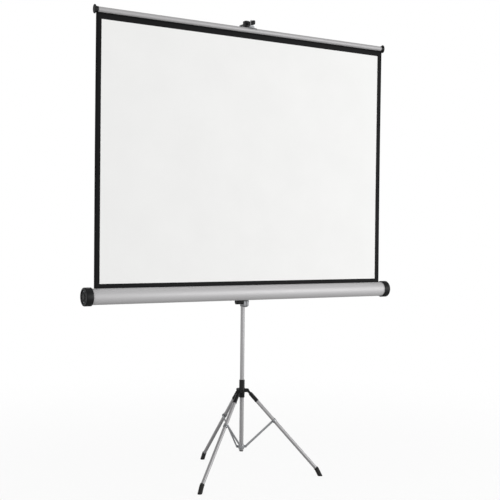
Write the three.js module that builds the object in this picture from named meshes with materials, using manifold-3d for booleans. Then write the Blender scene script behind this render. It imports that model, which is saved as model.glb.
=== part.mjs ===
// Tripod projector screen: cloth drawn up from a spring roller in a case, on a folding three-legged stand.
// Millimetres, +Z up, the cloth faces -Y. The origin is on the floor, midway between the front and rear feet.

import * as THREE from 'three';
import { mergeVertices } from 'three/addons/utils/BufferGeometryUtils.js';
import Module from 'manifold-3d';

const wasm = await Module();
wasm.setup();

// Clearances and fineness
const seatGap = 0.3;
const slideGap = 0.4;
const overrun = 5;
const capSides = 28;
const tubeSides = 20;
const pinSides = 10;
const nutSides = 6;
const shellSteps = 16;
const railSteps = 8;
const bendSteps = 6;
const endSteps = 4;

// Screen cloth
const clothWidth = 1500;
const clothThickness = 0.5;
const clothRise = 1132.6;
const clothBeadRadius = 2.5;

// Case and its end caps
const caseRadius = 34.5;
const caseWall = 1.2;
const caseHeight = 842.5;
const caseForward = 52;
const caseSideMargin = 14.2;
const slotHalfWidth = 6;
const slotLip = 5;
const endCapRadius = 39;
const endCapLength = 31;
const endCapFillet = 4;
const endCapDish = 3;
const endCapRim = 9;
const endCapSocket = 11;
const endCapSpigot = 4;
const capRibWidth = 3;
const capRibCount = 6;
const capHubRadius = 11;

// Spring roller
const rollerRadius = 13;
const rollerWall = 1;
const rollerOverhang = 2;
const plugFlange = 2;
const plugSpigot = 20;
const gudgeonRadius = 3;
const gudgeonInside = 15;
const bearingDepth = 12;
const arborRadius = 4;
const arborLength = 340;
const anchorLength = 20;
const springWireRadius = 1;
const springRadius = 7.5;
const springTurns = 10;
const springSteps = 8;
const springSides = 5;

// Top rail and its disc caps
const railRadius = 11.25;
const railWall = 1.5;
const railSlot = 3;
const railOverhang = 3;
const railSleeveWall = 1;
const railSleeveLength = 11;
const railDiscRadius = 19;
const railDiscDepth = 13;
const railDiscLength = 6;
const railDiscFillet = 2;
const clipLength = 44;
const clipWall = 2;
const clipPadLength = 26;
const clipPadDepth = 8;
const clipPadRise = 8;

// Column, extension rod and its collar
const columnRadius = 9.5;
const columnWall = 1;
const columnTail = 5;
const columnTop = 1200;
const columnPlugFlange = 5;
const columnPlugSpigot = 20;
const rodRadius = 8;
const rodWall = 1;
const glideLength = 30;
const glideFlange = 4;
const collarRadius = 14;
const collarGrip = 35;
const collarNeck = 22;
const collarEdge = 2;
const collarBossRadius = 8;
const collarBossReach = 24;

// Head, hook arm and hanger at the top
const armDrop = 26;
const headWidth = 22;
const headForward = 16;
const headBack = 11;
const headBelow = 17;
const headAbove = 14;
const headCorner = 5;
const headSocket = 6;
const armThickness = 8;
const armBarHeight = 9;
const armTail = 50;
const armNoseHeight = 19;
const armNoseStart = 27;
const armNoseEnd = 75;
const armNoseDrop = 3;
const armNoseCorner = 6;
const armNotch = 2.5;
const armNotchPitch = 8;
const armNotchCount = 2;
const hangerWall = 2.6;
const hangerBridge = 3;
const hangerDepth = 5;
const hangerFoot = 13;

// Case bracket, cradle, clamp bolt and swivel bolt
const bracketWall = 2.6;
const bracketWeb = 5.4;
const bracketBelow = 68.5;
const bracketAbove = 62;
const bracketCorner = 12;
const earReach = 31;
const earHeight = 34;
const earCorner = 9;
const earSlit = 2.4;
const earSlitExtra = 4;
const clampForward = 20;
const clampBelow = 43;
const clampBoltRadius = 3;
const nutRadius = 5.8;
const nutLength = 5;
const cradleWall = 1.6;
const cradleLength = 130;
const cradleAngle = 50;
const swivelRadius = 5;
const swivelHeadRadius = 9;
const swivelHead = 1.2;

// Clamp knobs
const caseKnobRadius = 12;
const caseKnobLength = 36;
const rodKnobRadius = 13;
const rodKnobLength = 15;
const knobFlutes = 10;
const knobFluteRadius = 1.8;
const knobEdge = 2;
const knobStudRadius = 3;

// Hub and its leg pins
const hubPivotRadius = 26;
const hubPivotHeight = 392;
const hubWall = 2.6;
const hubSkirt = 32;
const hubCoreWall = 3.6;
const hubCoreBelow = 13;
const hubCoreAbove = 11;
const hubCollar = 48.5;
const hubChamfer = 2;
const lugThickness = 4;
const lugRadius = 7.5;
const legPinRadius = 2.5;
const pinHeadRadius = 4.5;
const pinHead = 1.4;

// Legs, fittings, clips and feet
const legAngle = 41.7;
const legBearings = [-150, -30, 90];
const legNames = ['front_left', 'front_right', 'rear'];
const legRadius = 8;
const legWall = 1;
const legTop = 28;
const eyeThickness = 12;
const fittingRadius = 9.6;
const fittingTop = 20;
const fittingEnd = 65;
const footSleeve = 18;
const footDrop = 30.6;
const footAngle = 27.2;
const footRadius = 10;
const footInside = 3;
const clipPlace = 185;
const clipBand = 1.7;
const clipBandLength = 14;
const clipBoss = 1.3;

// Braces, spider and their pins
const spiderPivotRadius = 20;
const spiderPivotHeight = 132;
const spiderWall = 3.2;
const spiderHeight = 20;
const tabThickness = 2.2;
const tabRoot = 4.5;
const braceWidth = 12;
const braceThickness = 2;
const braceRib = 1;
const braceRibWidth = 5;
const braceRibEnd = 14;
const rivetRadius = 2.5;
const rivetHeadRadius = 5;
const rivetHead = 1.6;

// Cap screws
const screwRadius = 1.7;
const screwHeadRadius = 3.4;
const screwHead = 1.8;
const screwLength = 8;
const screwSpread = 22;

// Places worked out from the sizes above
const halfTurn = Math.PI;
const quarterTurn = halfTurn / 2;
const radians = THREE.MathUtils.degToRad;
const caseTop = caseHeight + caseRadius;
const caseInner = caseRadius - caseWall;
const railBottom = caseTop + clothRise;
const railHeight = railBottom + railRadius;
const railTop = railHeight + railRadius;
const armHeight = railTop + armDrop;
const headBottom = armHeight - headBelow;
const headTop = armHeight + headAbove;
const clothHalf = clothWidth / 2;
const caseHalf = clothHalf + caseSideMargin;
const rollerHalf = clothHalf + rollerOverhang;
const rollerBack = rollerRadius + clothThickness / 2 + seatGap;
const rollerForward = caseForward - rollerBack;
const railHalf = clothHalf + railOverhang;
const columnInner = columnRadius - columnWall;
const columnBottom = spiderPivotHeight - spiderHeight / 2 - columnTail;
const plugTop = columnBottom + columnPlugSpigot;
const collarBottom = columnTop - collarGrip;
const collarTop = columnTop + collarNeck;
const rodTop = headBottom + headSocket;
const rodBottom = headBottom - (collarTop - plugTop) + glideFlange + seatGap;
const legTilt = radians(legAngle);
const footBend = (hubPivotHeight - footDrop) / Math.cos(legTilt);
const footTop = footBend - footSleeve;
const footTilt = radians(footAngle);
const lugGap = eyeThickness / 2 + seatGap;
const bossFace = legRadius + seatGap + clipBand + clipBoss;
const braceInner = bossFace + seatGap;
const braceOuter = braceInner + braceThickness;
const bendAcross = hubPivotRadius + footBend * Math.sin(legTilt);
const footSlope = footDrop * Math.tan(footTilt);
const footReach = bendAcross + footSlope + footRadius / Math.cos(footTilt);
const frontBearing = radians(legBearings[0]);
const feetFront = footReach * Math.abs(Math.sin(frontBearing));
const columnBack = (feetFront - footReach) / 2;

// Finishes
const finishes = {
  silver: { color: 0xb4b7ba, roughness: 0.38, metalness: 0.85 },
  zinc: { color: 0x9c9fa2, roughness: 0.45, metalness: 0.9 },
  black: { color: 0x151515, roughness: 0.55, metalness: 0 },
  rubber: { color: 0x101010, roughness: 0.85, metalness: 0 },
  cloth: { color: 0xf0f0ee, roughness: 0.9, metalness: 0 },
  steel: { color: 0x7d8084, roughness: 0.35, metalness: 1 },
};

const axisX = new THREE.Vector3(1, 0, 0);
const axisY = new THREE.Vector3(0, 1, 0);
const axisZ = new THREE.Vector3(0, 0, 1);
const towardsFront = axisY.clone().negate();

// A profile drawn in Y and Z is pushed along X, and one drawn in X and Z is pushed towards the front
const alongX = new THREE.Matrix4().makeBasis(axisY, axisZ, axisX);
const alongFront = new THREE.Matrix4().makeBasis(axisX, axisZ, towardsFront);

// Solids
function solidOf(geometry) {
  const bare = geometry.index ? geometry.toNonIndexed() : geometry.clone();
  bare.deleteAttribute('normal');
  bare.deleteAttribute('uv');
  const merged = mergeVertices(bare);
  const vertProperties = new Float32Array(merged.attributes.position.array);
  const triVerts = new Uint32Array(merged.index.array);
  return new wasm.Manifold(new wasm.Mesh({ numProp: 3, vertProperties, triVerts }));
}

function geometryOf(solid) {
  const mesh = solid.getMesh();
  const geometry = new THREE.BufferGeometry();
  geometry.setAttribute('position', new THREE.BufferAttribute(new Float32Array(mesh.vertProperties), 3));
  geometry.setIndex(new THREE.BufferAttribute(new Uint32Array(mesh.triVerts), 1));
  return geometry;
}

function joined(...geometries) {
  return geometryOf(geometries.map(solidOf).reduce((whole, piece) => whole.add(piece)));
}

function cut(geometry, ...tools) {
  return geometryOf(tools.map(solidOf).reduce((rest, tool) => rest.subtract(tool), solidOf(geometry)));
}

function common(geometry, other) {
  return geometryOf(solidOf(geometry).intersect(solidOf(other)));
}

// Basic forms
function push(shape, length, steps = endSteps) {
  const settings = { depth: length, bevelEnabled: false, curveSegments: steps };
  return new THREE.ExtrudeGeometry(shape, settings);
}

function pushX(shape, from, to, steps) {
  return push(shape, to - from, steps).applyMatrix4(alongX).translate(from, 0, 0);
}

function pushFront(shape, from, to, steps) {
  return push(shape, to - from, steps).applyMatrix4(alongFront).translate(0, -from, 0);
}

function pushZ(shape, from, to, steps) {
  return push(shape, to - from, steps).translate(0, 0, from);
}

// A closed outline of [radius, height] points turned about Z
function turned(outline, sides = tubeSides) {
  const points = outline.map(([radius, height]) => new THREE.Vector2(radius, height));
  const ends = points[0].equals(points[points.length - 1]) || points[0].x + points[points.length - 1].x === 0;
  const closed = ends ? points : [...points, points[0].clone()];
  return new THREE.LatheGeometry(closed, sides).rotateX(quarterTurn);
}

function drum(radius, from, to, sides = tubeSides) {
  return turned([[0, from], [radius, from], [radius, to], [0, to]], sides);
}

function pipe(outer, inner, from, to, sides = tubeSides) {
  return turned([[inner, from], [outer, from], [outer, to], [inner, to]], sides);
}

function drumX(radius, from, to, sides) {
  return drum(radius, from, to, sides).rotateY(quarterTurn);
}

function pipeX(outer, inner, from, to, sides) {
  return pipe(outer, inner, from, to, sides).rotateY(quarterTurn);
}

function drumY(radius, from, to, sides) {
  return drum(radius, from, to, sides).rotateX(-quarterTurn);
}

function block(x0, x1, y0, y1, z0, z1) {
  const geometry = new THREE.BoxGeometry(x1 - x0, y1 - y0, z1 - z0);
  return geometry.translate((x0 + x1) / 2, (y0 + y1) / 2, (z0 + z1) / 2);
}

function polygon(points) {
  return new THREE.Shape(points.map(([across, up]) => new THREE.Vector2(across, up)));
}

// A rectangle from x0, y0 to x1, y1 with its corners rounded: corners lists the lower two, then the upper two
function rounded(x0, y0, x1, y1, corners) {
  const [lowLeft, lowRight, highRight, highLeft] = corners;
  const shape = new THREE.Shape();
  shape.moveTo(x0 + lowLeft, y0);
  shape.lineTo(x1 - lowRight, y0);
  if (lowRight) shape.absarc(x1 - lowRight, y0 + lowRight, lowRight, -quarterTurn, 0, false);
  shape.lineTo(x1, y1 - highRight);
  if (highRight) shape.absarc(x1 - highRight, y1 - highRight, highRight, 0, quarterTurn, false);
  shape.lineTo(x0 + highLeft, y1);
  if (highLeft) shape.absarc(x0 + highLeft, y1 - highLeft, highLeft, quarterTurn, halfTurn, false);
  shape.lineTo(x0, y0 + lowLeft);
  if (lowLeft) shape.absarc(x0 + lowLeft, y0 + lowLeft, lowLeft, halfTurn, halfTurn + quarterTurn, false);
  return shape;
}

// A strip between two points with round ends
function strip(x0, y0, x1, y1, radius) {
  const slope = Math.atan2(y1 - y0, x1 - x0);
  const shape = new THREE.Shape();
  shape.absarc(x0, y0, radius, slope + quarterTurn, slope + quarterTurn + halfTurn, false);
  shape.absarc(x1, y1, radius, slope - quarterTurn, slope + quarterTurn, false);
  return shape;
}

// Turns a form built up from Z = 0 so that it runs down and outwards at an angle from the vertical
function aimed(geometry, across, height, tilt) {
  return geometry.rotateY(halfTurn - tilt).translate(across, 0, height);
}

function mesh(name, geometry, finish) {
  const piece = new THREE.Mesh(geometry, new THREE.MeshStandardMaterial(finishes[finish]));
  piece.name = name;
  return piece;
}

// A grooved clamp knob standing along +Z from zero
function knob(radius, length) {
  const body = turned([
    [0, 0],
    [radius - knobEdge, 0],
    [radius, knobEdge],
    [radius, length - knobEdge],
    [radius - knobEdge, length],
    [0, length],
  ]);
  const flutes = Array.from({ length: knobFlutes }, (_, index) => {
    const turn = (2 * halfTurn * index) / knobFlutes;
    const across = radius + knobFluteRadius / 2;
    const flute = drum(knobFluteRadius, knobEdge, length + overrun, nutSides);
    return flute.translate(across * Math.cos(turn), across * Math.sin(turn), 0);
  });
  return cut(body, ...flutes);
}

// Column with its plug, the collar on top of it, and the collar's knob
function column() {
  const group = new THREE.Group();
  group.add(mesh('column_tube', pipe(columnRadius, columnInner, columnBottom, columnTop), 'silver'));
  const plugSpigotRadius = columnInner - seatGap;
  const flangeTop = columnBottom - seatGap;
  const plug = turned([
    [0, columnBottom - columnPlugFlange],
    [columnRadius - collarEdge, columnBottom - columnPlugFlange],
    [columnRadius, columnBottom - columnPlugFlange + collarEdge],
    [columnRadius, flangeTop],
    [plugSpigotRadius, flangeTop],
    [plugSpigotRadius, plugTop],
    [0, plugTop],
  ]);
  group.add(mesh('column_plug', plug, 'black'));

  const collarShell = turned([
    [columnRadius + seatGap, collarBottom],
    [collarRadius - collarEdge, collarBottom],
    [collarRadius, collarBottom + collarEdge],
    [collarRadius, collarTop - collarEdge],
    [collarRadius - collarEdge, collarTop],
    [rodRadius + slideGap, collarTop],
    [rodRadius + slideGap, columnTop + seatGap],
    [columnRadius + seatGap, columnTop + seatGap],
  ]);
  const screwHeight = columnTop + collarNeck / 2;
  const bossRoot = (collarRadius + columnRadius) / 2;
  const boss = drumY(collarBossRadius, bossRoot, collarBossReach).translate(0, 0, screwHeight);
  const studHole = drumY(knobStudRadius + seatGap, 0, collarBossReach + overrun, pinSides);
  const collar = cut(joined(collarShell, boss), studHole.translate(0, 0, screwHeight));
  group.add(mesh('rod_collar', collar, 'black'));

  const stud = drum(knobStudRadius, rodRadius + slideGap, collarBossReach + knobEdge, pinSides);
  const grip = knob(rodKnobRadius, rodKnobLength).translate(0, 0, collarBossReach + seatGap);
  const rodKnob = joined(stud, grip).rotateX(-quarterTurn).translate(0, 0, screwHeight);
  group.add(mesh('rod_knob', rodKnob, 'black'));
  return group;
}

// Spider clamped low on the column, with one tab for each brace
function spider() {
  const group = new THREE.Group();
  const low = spiderPivotHeight - spiderHeight / 2;
  const high = spiderPivotHeight + spiderHeight / 2;
  const ring = pipe(columnRadius + spiderWall, columnRadius + seatGap, low, high);
  const tabShape = strip(tabRoot, spiderPivotHeight, spiderPivotRadius, spiderPivotHeight, braceWidth / 2);
  const holes = [];
  const tabs = legBearings.map((bearing) => {
    const tab = pushFront(tabShape, 0, tabThickness).translate(0, bossFace, 0);
    const hole = drumY(rivetRadius + seatGap, 0, bossFace + overrun, pinSides);
    holes.push(hole.translate(spiderPivotRadius, 0, spiderPivotHeight).rotateZ(radians(bearing)));
    return tab.rotateZ(radians(bearing));
  });
  const bore = drum(columnRadius + seatGap, low - overrun, high + overrun);
  group.add(mesh('spider', cut(joined(ring, ...tabs), bore, ...holes), 'zinc'));
  legBearings.forEach((bearing, index) => {
    const shank = drumY(rivetRadius, bossFace - tabThickness, braceOuter + seatGap + rivetHead / 2, pinSides);
    const head = drumY(rivetHeadRadius, braceOuter + seatGap, braceOuter + seatGap + rivetHead, pinSides);
    const pin = joined(shank, head).translate(spiderPivotRadius, 0, spiderPivotHeight);
    group.add(mesh(`spider_pin_${legNames[index]}`, pin.rotateZ(radians(bearing)), 'steel'));
  });
  return group;
}

// Sliding hub with a pair of lugs for each leg
function hub() {
  const group = new THREE.Group();
  const bore = columnRadius + slideGap;
  const sleeve = bore + hubWall;
  const core = bore + hubCoreWall;
  const low = hubPivotHeight - hubSkirt;
  const coreLow = hubPivotHeight - hubCoreBelow;
  const coreHigh = hubPivotHeight + hubCoreAbove;
  const high = hubPivotHeight + hubCollar;
  const body = turned([
    [bore, low],
    [sleeve, low],
    [sleeve, coreLow - hubChamfer],
    [core, coreLow],
    [core, coreHigh],
    [sleeve, coreHigh + hubChamfer],
    [sleeve, high - hubChamfer / 2],
    [sleeve - hubChamfer / 2, high],
    [bore, high],
  ]);
  const lugShape = strip(core - hubWall, hubPivotHeight, hubPivotRadius, hubPivotHeight, lugRadius);
  const lugOuter = lugGap + lugThickness;
  const lugs = [];
  const holes = [];
  for (const bearing of legBearings) {
    for (const inner of [lugGap, -lugOuter]) {
      const lug = pushFront(lugShape, 0, lugThickness).translate(0, inner + lugThickness, 0);
      lugs.push(lug.rotateZ(radians(bearing)));
    }
    const hole = drumY(legPinRadius + seatGap, -lugOuter - overrun, lugOuter + overrun, pinSides);
    holes.push(hole.translate(hubPivotRadius, 0, hubPivotHeight).rotateZ(radians(bearing)));
  }
  const clear = drum(bore, low - overrun, high + overrun);
  group.add(mesh('hub', cut(joined(body, ...lugs), clear, ...holes), 'black'));
  legBearings.forEach((bearing, index) => {
    const shankEnd = lugOuter + seatGap + pinHead / 2;
    const shank = drumY(legPinRadius, -shankEnd, shankEnd, pinSides);
    const heads = [-lugOuter - seatGap - pinHead, lugOuter + seatGap].map(
      (from) => drumY(pinHeadRadius, from, from + pinHead, pinSides),
    );
    const pin = joined(shank, ...heads).translate(hubPivotRadius, 0, hubPivotHeight);
    group.add(mesh(`leg_pin_${legNames[index]}`, pin.rotateZ(radians(bearing)), 'steel'));
  });
  return group;
}

// One leg: fitting at the hub, tube, brace clip and foot, drawn in the plane through the column
function leg(name) {
  const group = new THREE.Group();
  const across = hubPivotRadius;
  const height = hubPivotHeight;
  const eye = drumY(lugRadius, -eyeThickness / 2, eyeThickness / 2);
  const neckShape = strip(0, 0, 0, fittingTop, lugRadius - hubChamfer);
  const neck = pushFront(neckShape, -eyeThickness / 2, eyeThickness / 2);
  const socket = turned([
    [0, fittingTop - hubChamfer],
    [fittingRadius - hubChamfer, fittingTop - hubChamfer],
    [fittingRadius, fittingTop],
    [fittingRadius, fittingEnd - hubChamfer / 2],
    [fittingRadius - hubChamfer / 2, fittingEnd],
    [0, fittingEnd],
  ]);
  const pinHole = drumY(legPinRadius + seatGap, -eyeThickness, eyeThickness, pinSides);
  const tubeHole = drum(legRadius + seatGap, legTop - seatGap, fittingEnd + overrun);
  const fitting = cut(joined(eye, neck, socket), pinHole, tubeHole);
  group.add(mesh(`leg_fitting_${name}`, aimed(fitting, across, height, legTilt), 'black'));

  const tubeEnd = footBend - footInside;
  const tube = pipe(legRadius, legRadius - legWall, legTop, tubeEnd);
  group.add(mesh(`leg_tube_${name}`, aimed(tube, across, height, legTilt), 'silver'));

  const bandRadius = legRadius + seatGap + clipBand;
  const band = drum(bandRadius, clipPlace - clipBandLength / 2, clipPlace + clipBandLength / 2);
  const boss = drumY(braceWidth / 2, 0, bossFace).translate(0, 0, clipPlace);
  const through = drum(legRadius + seatGap, 0, clipPlace + clipBandLength);
  const clip = cut(joined(band, boss), through);
  group.add(mesh(`brace_clip_${name}`, aimed(clip, across, height, legTilt), 'zinc'));

  const upper = aimed(drum(footRadius, footTop, footBend), across, height, legTilt);
  const knee = new THREE.SphereGeometry(footRadius, tubeSides, tubeSides / 2).rotateX(quarterTurn);
  const knuckle = aimed(knee, bendAcross, footDrop, legTilt);
  const lower = aimed(drum(footRadius, 0, 2 * footDrop), bendAcross, footDrop, footTilt);
  const below = block(0, 2 * footReach, -footReach, footReach, -footReach, 0);
  const seat = aimed(drum(legRadius + seatGap, 0, tubeEnd + seatGap), across, height, legTilt);
  group.add(mesh(`foot_${name}`, cut(joined(upper, knuckle, lower), below, seat), 'rubber'));
  return group;
}

// One brace beside its leg, with the rivet that closes on the leg's clip
function brace(name) {
  const group = new THREE.Group();
  const clipAcross = hubPivotRadius + clipPlace * Math.sin(legTilt);
  const clipHeight = hubPivotHeight - clipPlace * Math.cos(legTilt);
  const shape = strip(spiderPivotRadius, spiderPivotHeight, clipAcross, clipHeight, braceWidth / 2);
  const plate = pushFront(shape, -braceOuter, -braceInner);
  const length = Math.hypot(clipAcross - spiderPivotRadius, clipHeight - spiderPivotHeight);
  const ribStart = braceRibEnd / length;
  const ribPoint = (share) => [
    spiderPivotRadius + (clipAcross - spiderPivotRadius) * share,
    spiderPivotHeight + (clipHeight - spiderPivotHeight) * share,
  ];
  const ribShape = strip(...ribPoint(ribStart), ...ribPoint(1 - ribStart), braceRibWidth / 2);
  const rib = pushFront(ribShape, -braceOuter - braceRib, -braceOuter + braceThickness / 2);
  const ends = [[spiderPivotRadius, spiderPivotHeight], [clipAcross, clipHeight]];
  const eyes = ends.map(([x, z]) => {
    const eye = drumY(rivetRadius + seatGap, 0, braceOuter + overrun, pinSides);
    return eye.translate(x, 0, z);
  });
  group.add(mesh(`brace_${name}`, cut(joined(plate, rib), ...eyes), 'silver'));
  const shank = drumY(rivetRadius, braceInner, braceOuter + seatGap + rivetHead / 2, pinSides);
  const head = drumY(rivetHeadRadius, braceOuter + seatGap, braceOuter + seatGap + rivetHead, pinSides);
  const rivet = joined(shank, head).translate(clipAcross, 0, clipHeight);
  group.add(mesh(`brace_rivet_${name}`, rivet, 'steel'));
  return group;
}

// Round shell with a slot along one side: the lips turn in beside the slot
function slottedShell(radius, wall, halfSlot, lip) {
  const inner = radius - wall;
  const outerAngle = Math.acos(halfSlot / radius);
  const innerAngle = Math.acos((halfSlot + wall) / inner);
  const lipEnd = radius * Math.sin(outerAngle) - lip;
  const shape = new THREE.Shape();
  shape.absarc(0, 0, radius, outerAngle, halfTurn - outerAngle, true);
  shape.lineTo(-halfSlot, lipEnd);
  shape.lineTo(-halfSlot - wall, lipEnd);
  shape.absarc(0, 0, inner, halfTurn - innerAngle, innerAngle, false);
  shape.lineTo(halfSlot + wall, lipEnd);
  shape.lineTo(halfSlot, lipEnd);
  return shape;
}

// End cap closing one end of the case: side is 1 on the right and -1 on the left
function endCap(side) {
  const shellEnd = caseHalf + endCapSocket;
  const outer = caseHalf + endCapLength;
  const dish = outer - endCapDish;
  const spigot = caseInner - seatGap;
  const inside = shellEnd + seatGap - endCapSpigot - endCapSocket;
  const body = turned([
    [0, inside],
    [spigot, inside],
    [spigot, shellEnd + seatGap],
    [caseRadius + seatGap, shellEnd + seatGap],
    [caseRadius + seatGap, caseHalf],
    [endCapRadius, caseHalf],
    [endCapRadius, outer - endCapFillet],
    [endCapRadius - endCapFillet / 3, outer - endCapFillet / 3],
    [endCapRadius - endCapFillet, outer],
    [endCapRadius - endCapRim, outer],
    [endCapRadius - endCapRim, dish],
    [0, dish],
  ], capSides).rotateY(side * quarterTurn);
  const faced = (piece) => (side > 0 ? piece : piece.rotateZ(halfTurn));
  const hubPad = faced(drumX(capHubRadius, dish - endCapDish, outer - endCapDish / 3, tubeSides));
  const ribReach = endCapRadius - endCapRim / 2;
  const ribs = Array.from({ length: capRibCount }, (_, index) => {
    const ribFront = outer - endCapDish / 2;
    const rib = block(dish - endCapDish, ribFront, 0, ribReach, -capRibWidth / 2, capRibWidth / 2);
    return faced(rib.rotateX((2 * halfTurn * index) / capRibCount));
  });
  const lipRoom = slotHalfWidth + caseWall + seatGap;
  const lipLow = Math.sqrt(caseRadius ** 2 - slotHalfWidth ** 2) - slotLip - seatGap;
  const lipNotch = faced(block(0, shellEnd + seatGap, -lipRoom, lipRoom, lipLow, caseInner + seatGap));
  const axleRadius = (side > 0 ? arborRadius : gudgeonRadius) + seatGap;
  const axleHole = faced(drumX(axleRadius, 0, inside + bearingDepth, pinSides)).translate(0, rollerBack, 0);
  const screwHoles = [-screwSpread, screwSpread].map((up) => {
    const hole = drumX(screwRadius + seatGap, dish - screwLength, outer + overrun, pinSides);
    return faced(hole).translate(0, 0, up);
  });
  const cap = cut(joined(body, hubPad, ...ribs), lipNotch, axleHole, ...screwHoles);
  return cap.translate(0, -caseForward, caseHeight);
}

function capScrew(side, up) {
  const seat = caseHalf + endCapLength - endCapDish + seatGap;
  const head = turned([
    [0, seat],
    [screwHeadRadius, seat],
    [screwHeadRadius, seat + screwHead / 2],
    [screwHeadRadius / 2, seat + screwHead],
    [0, seat + screwHead],
  ], pinSides);
  const shank = drum(screwRadius, seat - screwLength, seat + screwHead / 2, nutSides);
  const screw = joined(head, shank).rotateY(side * quarterTurn);
  return screw.translate(0, -caseForward, caseHeight + up);
}

// Case shell, its caps and screws
function caseShell() {
  const group = new THREE.Group();
  const shellEnd = caseHalf + endCapSocket;
  const profile = slottedShell(caseRadius, caseWall, slotHalfWidth, slotLip);
  const shell = pushX(profile, -shellEnd, shellEnd, shellSteps);
  const boltHole = drumY(swivelRadius + seatGap, 0, 2 * caseRadius, pinSides);
  group.add(mesh('case_shell', cut(shell, boltHole).translate(0, -caseForward, caseHeight), 'silver'));
  for (const [side, name] of [[-1, 'left'], [1, 'right']]) {
    group.add(mesh(`end_cap_${name}`, endCap(side), 'black'));
    group.add(mesh(`cap_screw_${name}_upper`, capScrew(side, screwSpread), 'steel'));
    group.add(mesh(`cap_screw_${name}_lower`, capScrew(side, -screwSpread), 'steel'));
  }
  return group;
}

// Clamp bracket on the column, the cradle that holds the case, and the bolts between them
function bracket() {
  const group = new THREE.Group();
  const bore = columnRadius + slideGap;
  const half = bore + bracketWall;
  const front = bore + bracketWeb;
  const low = caseHeight - bracketBelow;
  const high = caseHeight + bracketAbove;
  const plan = new THREE.Shape();
  plan.moveTo(-half, -front);
  plan.lineTo(half, -front);
  plan.lineTo(half, 0);
  plan.absarc(0, 0, half, 0, halfTurn, false);
  const sleeve = pushZ(plan, low, high, bendSteps);
  const earShape = rounded(-earReach, low, 0, low + earHeight, [earCorner, 0, 0, earCorner]);
  const ears = pushX(earShape, -half, half);
  const shield = rounded(-half, low, half, high, [bracketCorner, bracketCorner, bracketWall, bracketWall]);
  const outline = pushFront(shield, -2 * half, earReach + overrun);
  const clampHeight = caseHeight - clampBelow;
  const boreTool = drum(bore, low - overrun, high + overrun);
  const slitTop = low + earHeight + earSlitExtra;
  const slit = block(-earSlit / 2, earSlit / 2, -earReach - overrun, 0, low - overrun, slitTop);
  const clampHole = drumX(clampBoltRadius + seatGap, -half - overrun, half + overrun, pinSides);
  const swivelHole = drumY(swivelRadius + seatGap, -2 * front, 0, pinSides);
  const body = common(joined(sleeve, ears), outline);
  const holes = [clampHole.translate(0, -clampForward, clampHeight), swivelHole.translate(0, 0, caseHeight)];
  group.add(mesh('case_bracket', cut(body, boreTool, slit, ...holes), 'zinc'));

  const nutBlank = drumX(nutRadius, half + seatGap, half + seatGap + nutLength, nutSides);
  const nutHole = drumX(clampBoltRadius + seatGap, 0, 2 * half, pinSides);
  group.add(mesh('clamp_nut', cut(nutBlank, nutHole).translate(0, -clampForward, clampHeight), 'steel'));

  const boltEnd = half + 2 * seatGap + nutLength;
  const knobFace = half + seatGap;
  const boltStart = knobFace + caseKnobLength / 2;
  const bolt = drumX(clampBoltRadius, -boltStart, boltEnd, pinSides).translate(0, -clampForward, clampHeight);
  group.add(mesh('clamp_bolt', bolt, 'steel'));
  const grip = knob(caseKnobRadius, caseKnobLength).rotateY(-quarterTurn).translate(-knobFace, 0, 0);
  const gripHole = drumX(clampBoltRadius + seatGap, -boltStart - seatGap, 0, pinSides);
  group.add(mesh('case_knob', cut(grip, gripHole).translate(0, -clampForward, clampHeight), 'black'));

  const cradleInner = caseRadius + seatGap;
  const cradleOuter = cradleInner + cradleWall;
  const spread = radians(cradleAngle);
  const cradleShape = new THREE.Shape();
  cradleShape.absarc(0, 0, cradleOuter, -spread, spread, false);
  cradleShape.absarc(0, 0, cradleInner, spread, -spread, true);
  const cradleBlank = pushX(cradleShape, -cradleLength / 2, cradleLength / 2, bendSteps);
  const cradleHole = drumY(swivelRadius + seatGap, 0, 2 * cradleOuter, pinSides);
  const cradle = cut(cradleBlank, cradleHole).translate(0, -caseForward, caseHeight);
  group.add(mesh('case_cradle', cradle, 'zinc'));

  const headFace = caseForward - caseInner + seatGap;
  const shank = drumY(swivelRadius, -headFace - swivelHead / 2, -bore - seatGap, pinSides);
  const head = drumY(swivelHeadRadius, -headFace - swivelHead, -headFace, tubeSides);
  const headClear = drumX(caseInner - seatGap, -caseRadius, caseRadius, capSides);
  const headTrim = common(head, headClear.translate(0, -caseForward, 0));
  group.add(mesh('swivel_bolt', joined(shank, headTrim).translate(0, 0, caseHeight), 'steel'));
  return group;
}

// A coil spring along X made as one tube round a helix
class Helix extends THREE.Curve {
  constructor(radius, from, to, turns) {
    super();
    Object.assign(this, { radius, from, to, turns });
  }

  getPoint(share, target = new THREE.Vector3()) {
    const turn = 2 * halfTurn * this.turns * share;
    const along = this.from + (this.to - this.from) * share;
    return target.set(along, this.radius * Math.cos(turn), this.radius * Math.sin(turn));
  }
}

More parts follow.
